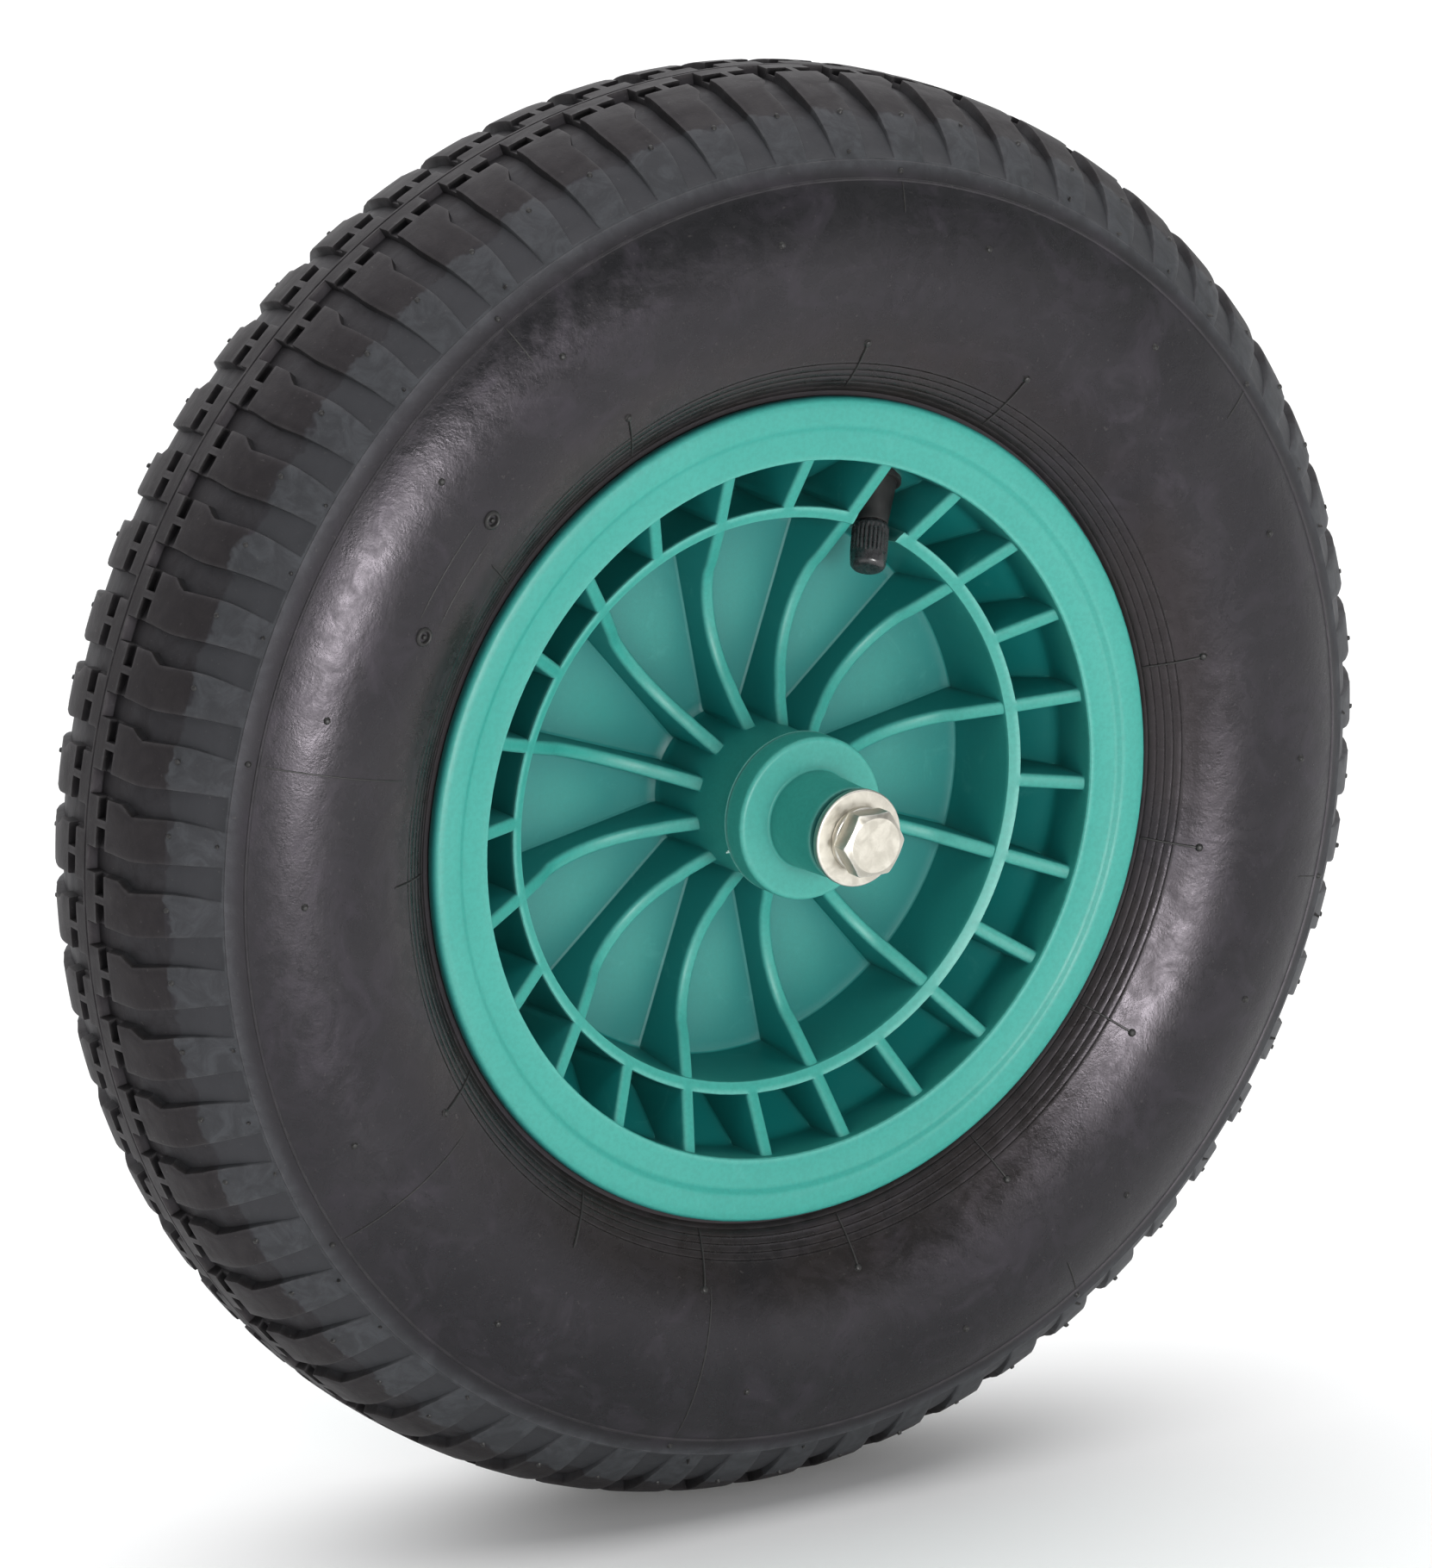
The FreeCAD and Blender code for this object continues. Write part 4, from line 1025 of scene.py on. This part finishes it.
def plated_steel(name, dark, light, rough_low=0.26, rough_high=0.42, streak=(1.0, 1.0, 1.0),
                 patina=0.3):
    """Plated steel: soft cloudy plating, fine tool marks, brighter rubbed edges."""
    f = Finish(name, Metallic=1.0)
    cloud = f.noise(240.0, 4.0, 0.6, warp=0.6)
    marks = f.noise(1900.0, 3.0, 0.7, stretch=streak)
    base = f.mix(f.span(cloud, 0.35, 0.68), dark, light)
    base = f.over(base, f.span(marks, 0.62, 0.75), patina, tuple(0.62 * c for c in dark))
    base = f.over(base, f.edge(0.8), 0.6, (0.93, 0.92, 0.90))
    rough = f.math("ADD", f.span(cloud, 0.3, 0.7, rough_low, rough_high),
                   f.span(marks, 0.4, 0.8, 0.0, 0.08))
    normal = f.bump(marks, 0.02, strength=0.45)
    return f.done(base, rough, f.bump(cloud, 0.06, normal, 0.35))


def cad_finish(node, material):
    """Gives a CAD node that stays a procedural finish."""
    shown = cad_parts[node]
    shown.data.materials.clear()
    shown.data.materials.append(material)


def pale_floor():
    f = Finish("pale_floor", Specular_IOR_Level=0.1)
    drift = f.noise(1.2, 2.0, 0.5)
    base = f.mix(f.span(drift, 0.3, 0.7), (0.915, 0.915, 0.915), (0.93, 0.93, 0.93))
    return f.done(base, 0.85, f.bump(f.noise(400.0, 2.0, 0.5), 0.1, strength=0.2))


# ---------- floor, light and camera

VIEW_AZIMUTH = -32.452
VIEW_ELEVATION = 15.175
VIEW_DISTANCE = 2.962
VIEW_SHIFT_MM = (-0.87, -0.83)
LENS_MM = 272.73
FLOOR_REACH = 40.0
HORIZON_BAND = (0.07, 0.30)
HORIZON_COLOUR = (0.93, 0.93, 0.93, 1.0)
SKY_COLOUR = (0.30, 0.306, 0.311, 1.0)
FRONT_LIGHT_SIZE = (0.46, 1.10)
FRONT_LIGHT_WATTS = 56.0
OVERHEAD_STRENGTH = 3.3
OVERHEAD_SPREAD = 110.0


def view_axes(azimuth, elevation):
    a, e = radians(azimuth), radians(elevation)
    back = Vector((sin(a) * cos(e), -cos(a) * cos(e), sin(e)))
    right = Vector((cos(a), sin(a), 0.0))
    return right, back.cross(right), back


def place_camera():
    right, up, back = view_axes(VIEW_AZIMUTH, VIEW_ELEVATION)
    data = bpy.data.cameras.new("camera")
    data.sensor_fit = "HORIZONTAL"
    data.sensor_width = 36.0
    data.lens = LENS_MM
    data.clip_start = 0.05
    data.clip_end = 200.0
    camera = add_object("camera", data)
    turn = Matrix((right, up, back)).transposed().to_4x4()
    place = back * VIEW_DISTANCE + (right * VIEW_SHIFT_MM[0] + up * VIEW_SHIFT_MM[1]) * MM
    camera.matrix_world = Matrix.Translation(place) @ turn
    bpy.context.scene.camera = camera


def aim_light(data, azimuth, elevation, distance, roll):
    """Puts a light in that direction from the wheel, facing it, rolled about its own axis."""
    right, up, back = view_axes(azimuth, elevation)
    leaning = radians(roll)
    right, up = (right * cos(leaning) + up * sin(leaning),
                 up * cos(leaning) - right * sin(leaning))
    turn = Matrix((right, up, back)).transposed().to_4x4()
    add_object(data.name, data).matrix_world = Matrix.Translation(back * distance) @ turn


def make_lights():
    """A soft box in front, and a very wide light from above and behind for the pale floor."""
    front = bpy.data.lights.new("front", "AREA")
    front.shape = "RECTANGLE"
    front.size, front.size_y = FRONT_LIGHT_SIZE
    front.energy = FRONT_LIGHT_WATTS
    front.color = (1.0, 0.995, 0.985)
    aim_light(front, -2, 1, 2.4, 33.0)
    overhead = bpy.data.lights.new("overhead", "SUN")
    overhead.energy = OVERHEAD_STRENGTH
    overhead.angle = radians(OVERHEAD_SPREAD)
    aim_light(overhead, 172, 64, 0.0, 0.0)


def make_stage():
    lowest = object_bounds()[0][2]
    mesh = bpy.data.meshes.new("floor")
    corners = [(FLOOR_REACH * x, FLOOR_REACH * y, lowest)
               for x, y in ((-1, -1), (1, -1), (1, 1), (-1, 1))]
    mesh.from_pydata(corners, [], [(0, 1, 2, 3)])
    mesh.materials.append(pale_floor())
    floor = add_object("floor", mesh)

    # dim overhead, and as pale as the floor down at the horizon
    world = bpy.data.worlds.new("studio")
    world.use_nodes = True
    nodes, links = world.node_tree.nodes, world.node_tree.links
    sky = next(n for n in nodes if n.type == "BACKGROUND")
    sky.inputs["Strength"].default_value = 1.0
    direction = nodes.new("ShaderNodeTexCoord").outputs["Generated"]
    split = nodes.new("ShaderNodeSeparateXYZ")
    links.new(direction, split.inputs[0])
    rise = nodes.new("ShaderNodeMapRange")
    rise.interpolation_type = "SMOOTHSTEP"
    rise.inputs["From Min"].default_value = HORIZON_BAND[0]
    rise.inputs["From Max"].default_value = HORIZON_BAND[1]
    links.new(split.outputs["Z"], rise.inputs["Value"])
    blend = nodes.new("ShaderNodeMix")
    blend.data_type = "RGBA"
    blend.inputs[6].default_value = HORIZON_COLOUR
    blend.inputs[7].default_value = SKY_COLOUR
    links.new(rise.outputs["Result"], blend.inputs[0])
    links.new(blend.outputs[2], sky.inputs["Color"])
    bpy.context.scene.world = world

    make_lights()
    bpy.context.scene.view_settings.view_transform = "Standard"


# ---------- putting it together

teal = moulded_plastic("teal_plastic")
bush_teal = moulded_plastic("bush_teal_plastic", 0.92, 0.5, 0.45)
rubber = tyre_rubber("tyre_rubber")
black_rubber = plain_rubber("valve_rubber", (0.010, 0.0098, 0.0098), (0.017, 0.0165, 0.0165))
tube_rubber = plain_rubber("tube_rubber", (0.014, 0.014, 0.015), (0.024, 0.024, 0.025), 0.45, 0.65)
seal_rubber = plain_rubber("seal_rubber", (0.012, 0.012, 0.012), (0.020, 0.020, 0.020), 0.35, 0.5)
cap_black = cap_plastic("cap_plastic")
mark_rubber = plain_rubber("mark_rubber", (0.0055, 0.0053, 0.0052), (0.0105, 0.010, 0.0098))
zinc = plated_steel("zinc_plate", (0.47, 0.445, 0.385), (0.58, 0.555, 0.49), 0.31, 0.45)
drawn_steel = plated_steel("drawn_steel", (0.42, 0.42, 0.41), (0.56, 0.56, 0.55),
                           streak=(1.0, 0.05, 1.0))
spring_wire = plated_steel("spring_wire", (0.40, 0.40, 0.40), (0.55, 0.55, 0.55), 0.2, 0.3)
bead_steel = plated_steel("bead_wire", (0.42, 0.31, 0.22), (0.52, 0.40, 0.30), 0.3, 0.45,
                          (0.1, 1.0, 0.1))
brass = plated_steel("turned_brass", (0.60, 0.42, 0.17), (0.72, 0.53, 0.25), 0.24, 0.36,
                     patina=0.2)

rim = rim_moulding()
cut_valve_hole(rim)
finish_piece(rim, teal, "wheel", ["rim_moulding"], 28.0)

finish_piece(moulding_flash(), torn_plastic("torn_plastic"), "wheel", (), 50.0)

finish_piece(tyre_cover(), rubber, "wheel", ["tyre_cover"], 30.0)
for side in (NEAR, FAR):
    name = SIDE_NAMES[side]
    finish_piece(tyre_marks(side), mark_rubber, "wheel", (), 40.0)
    finish_piece(hub_bush(side), bush_teal, "wheel", [f"hub_bush_{name}"], 32.0)
    finish_piece(hub_washer(side), zinc, "axle", [f"washer_{name}"], 40.0)
    finish_piece(lock_washer(side), zinc, "axle", [f"lock_washer_{name}"], 40.0)
    finish_piece(axle_screw(side), zinc, "axle", [f"axle_screw_{name}"], 20.0)
    cad_finish(f"bead_wire_{name}", bead_steel)
finish_piece(valve_cap(), cap_black, "valve_cap", ["valve_cap"], 50.0)

spring = finish_piece(valve_core_spring(), spring_wire, "wheel",
                      ["valve_core_spring"], 60.0)
press_with_pin(spring)

for node, material in {
    "inner_tube": tube_rubber, "axle_bar": drawn_steel, "valve_stem": black_rubber,
    "valve_insert": brass, "valve_core_body": brass, "valve_core_pin": brass,
    "valve_core_gasket": seal_rubber, "valve_core_seal": seal_rubber, "valve_cap_seal": seal_rubber,
}.items():
    cad_finish(node, material)

place_camera()
make_stage()
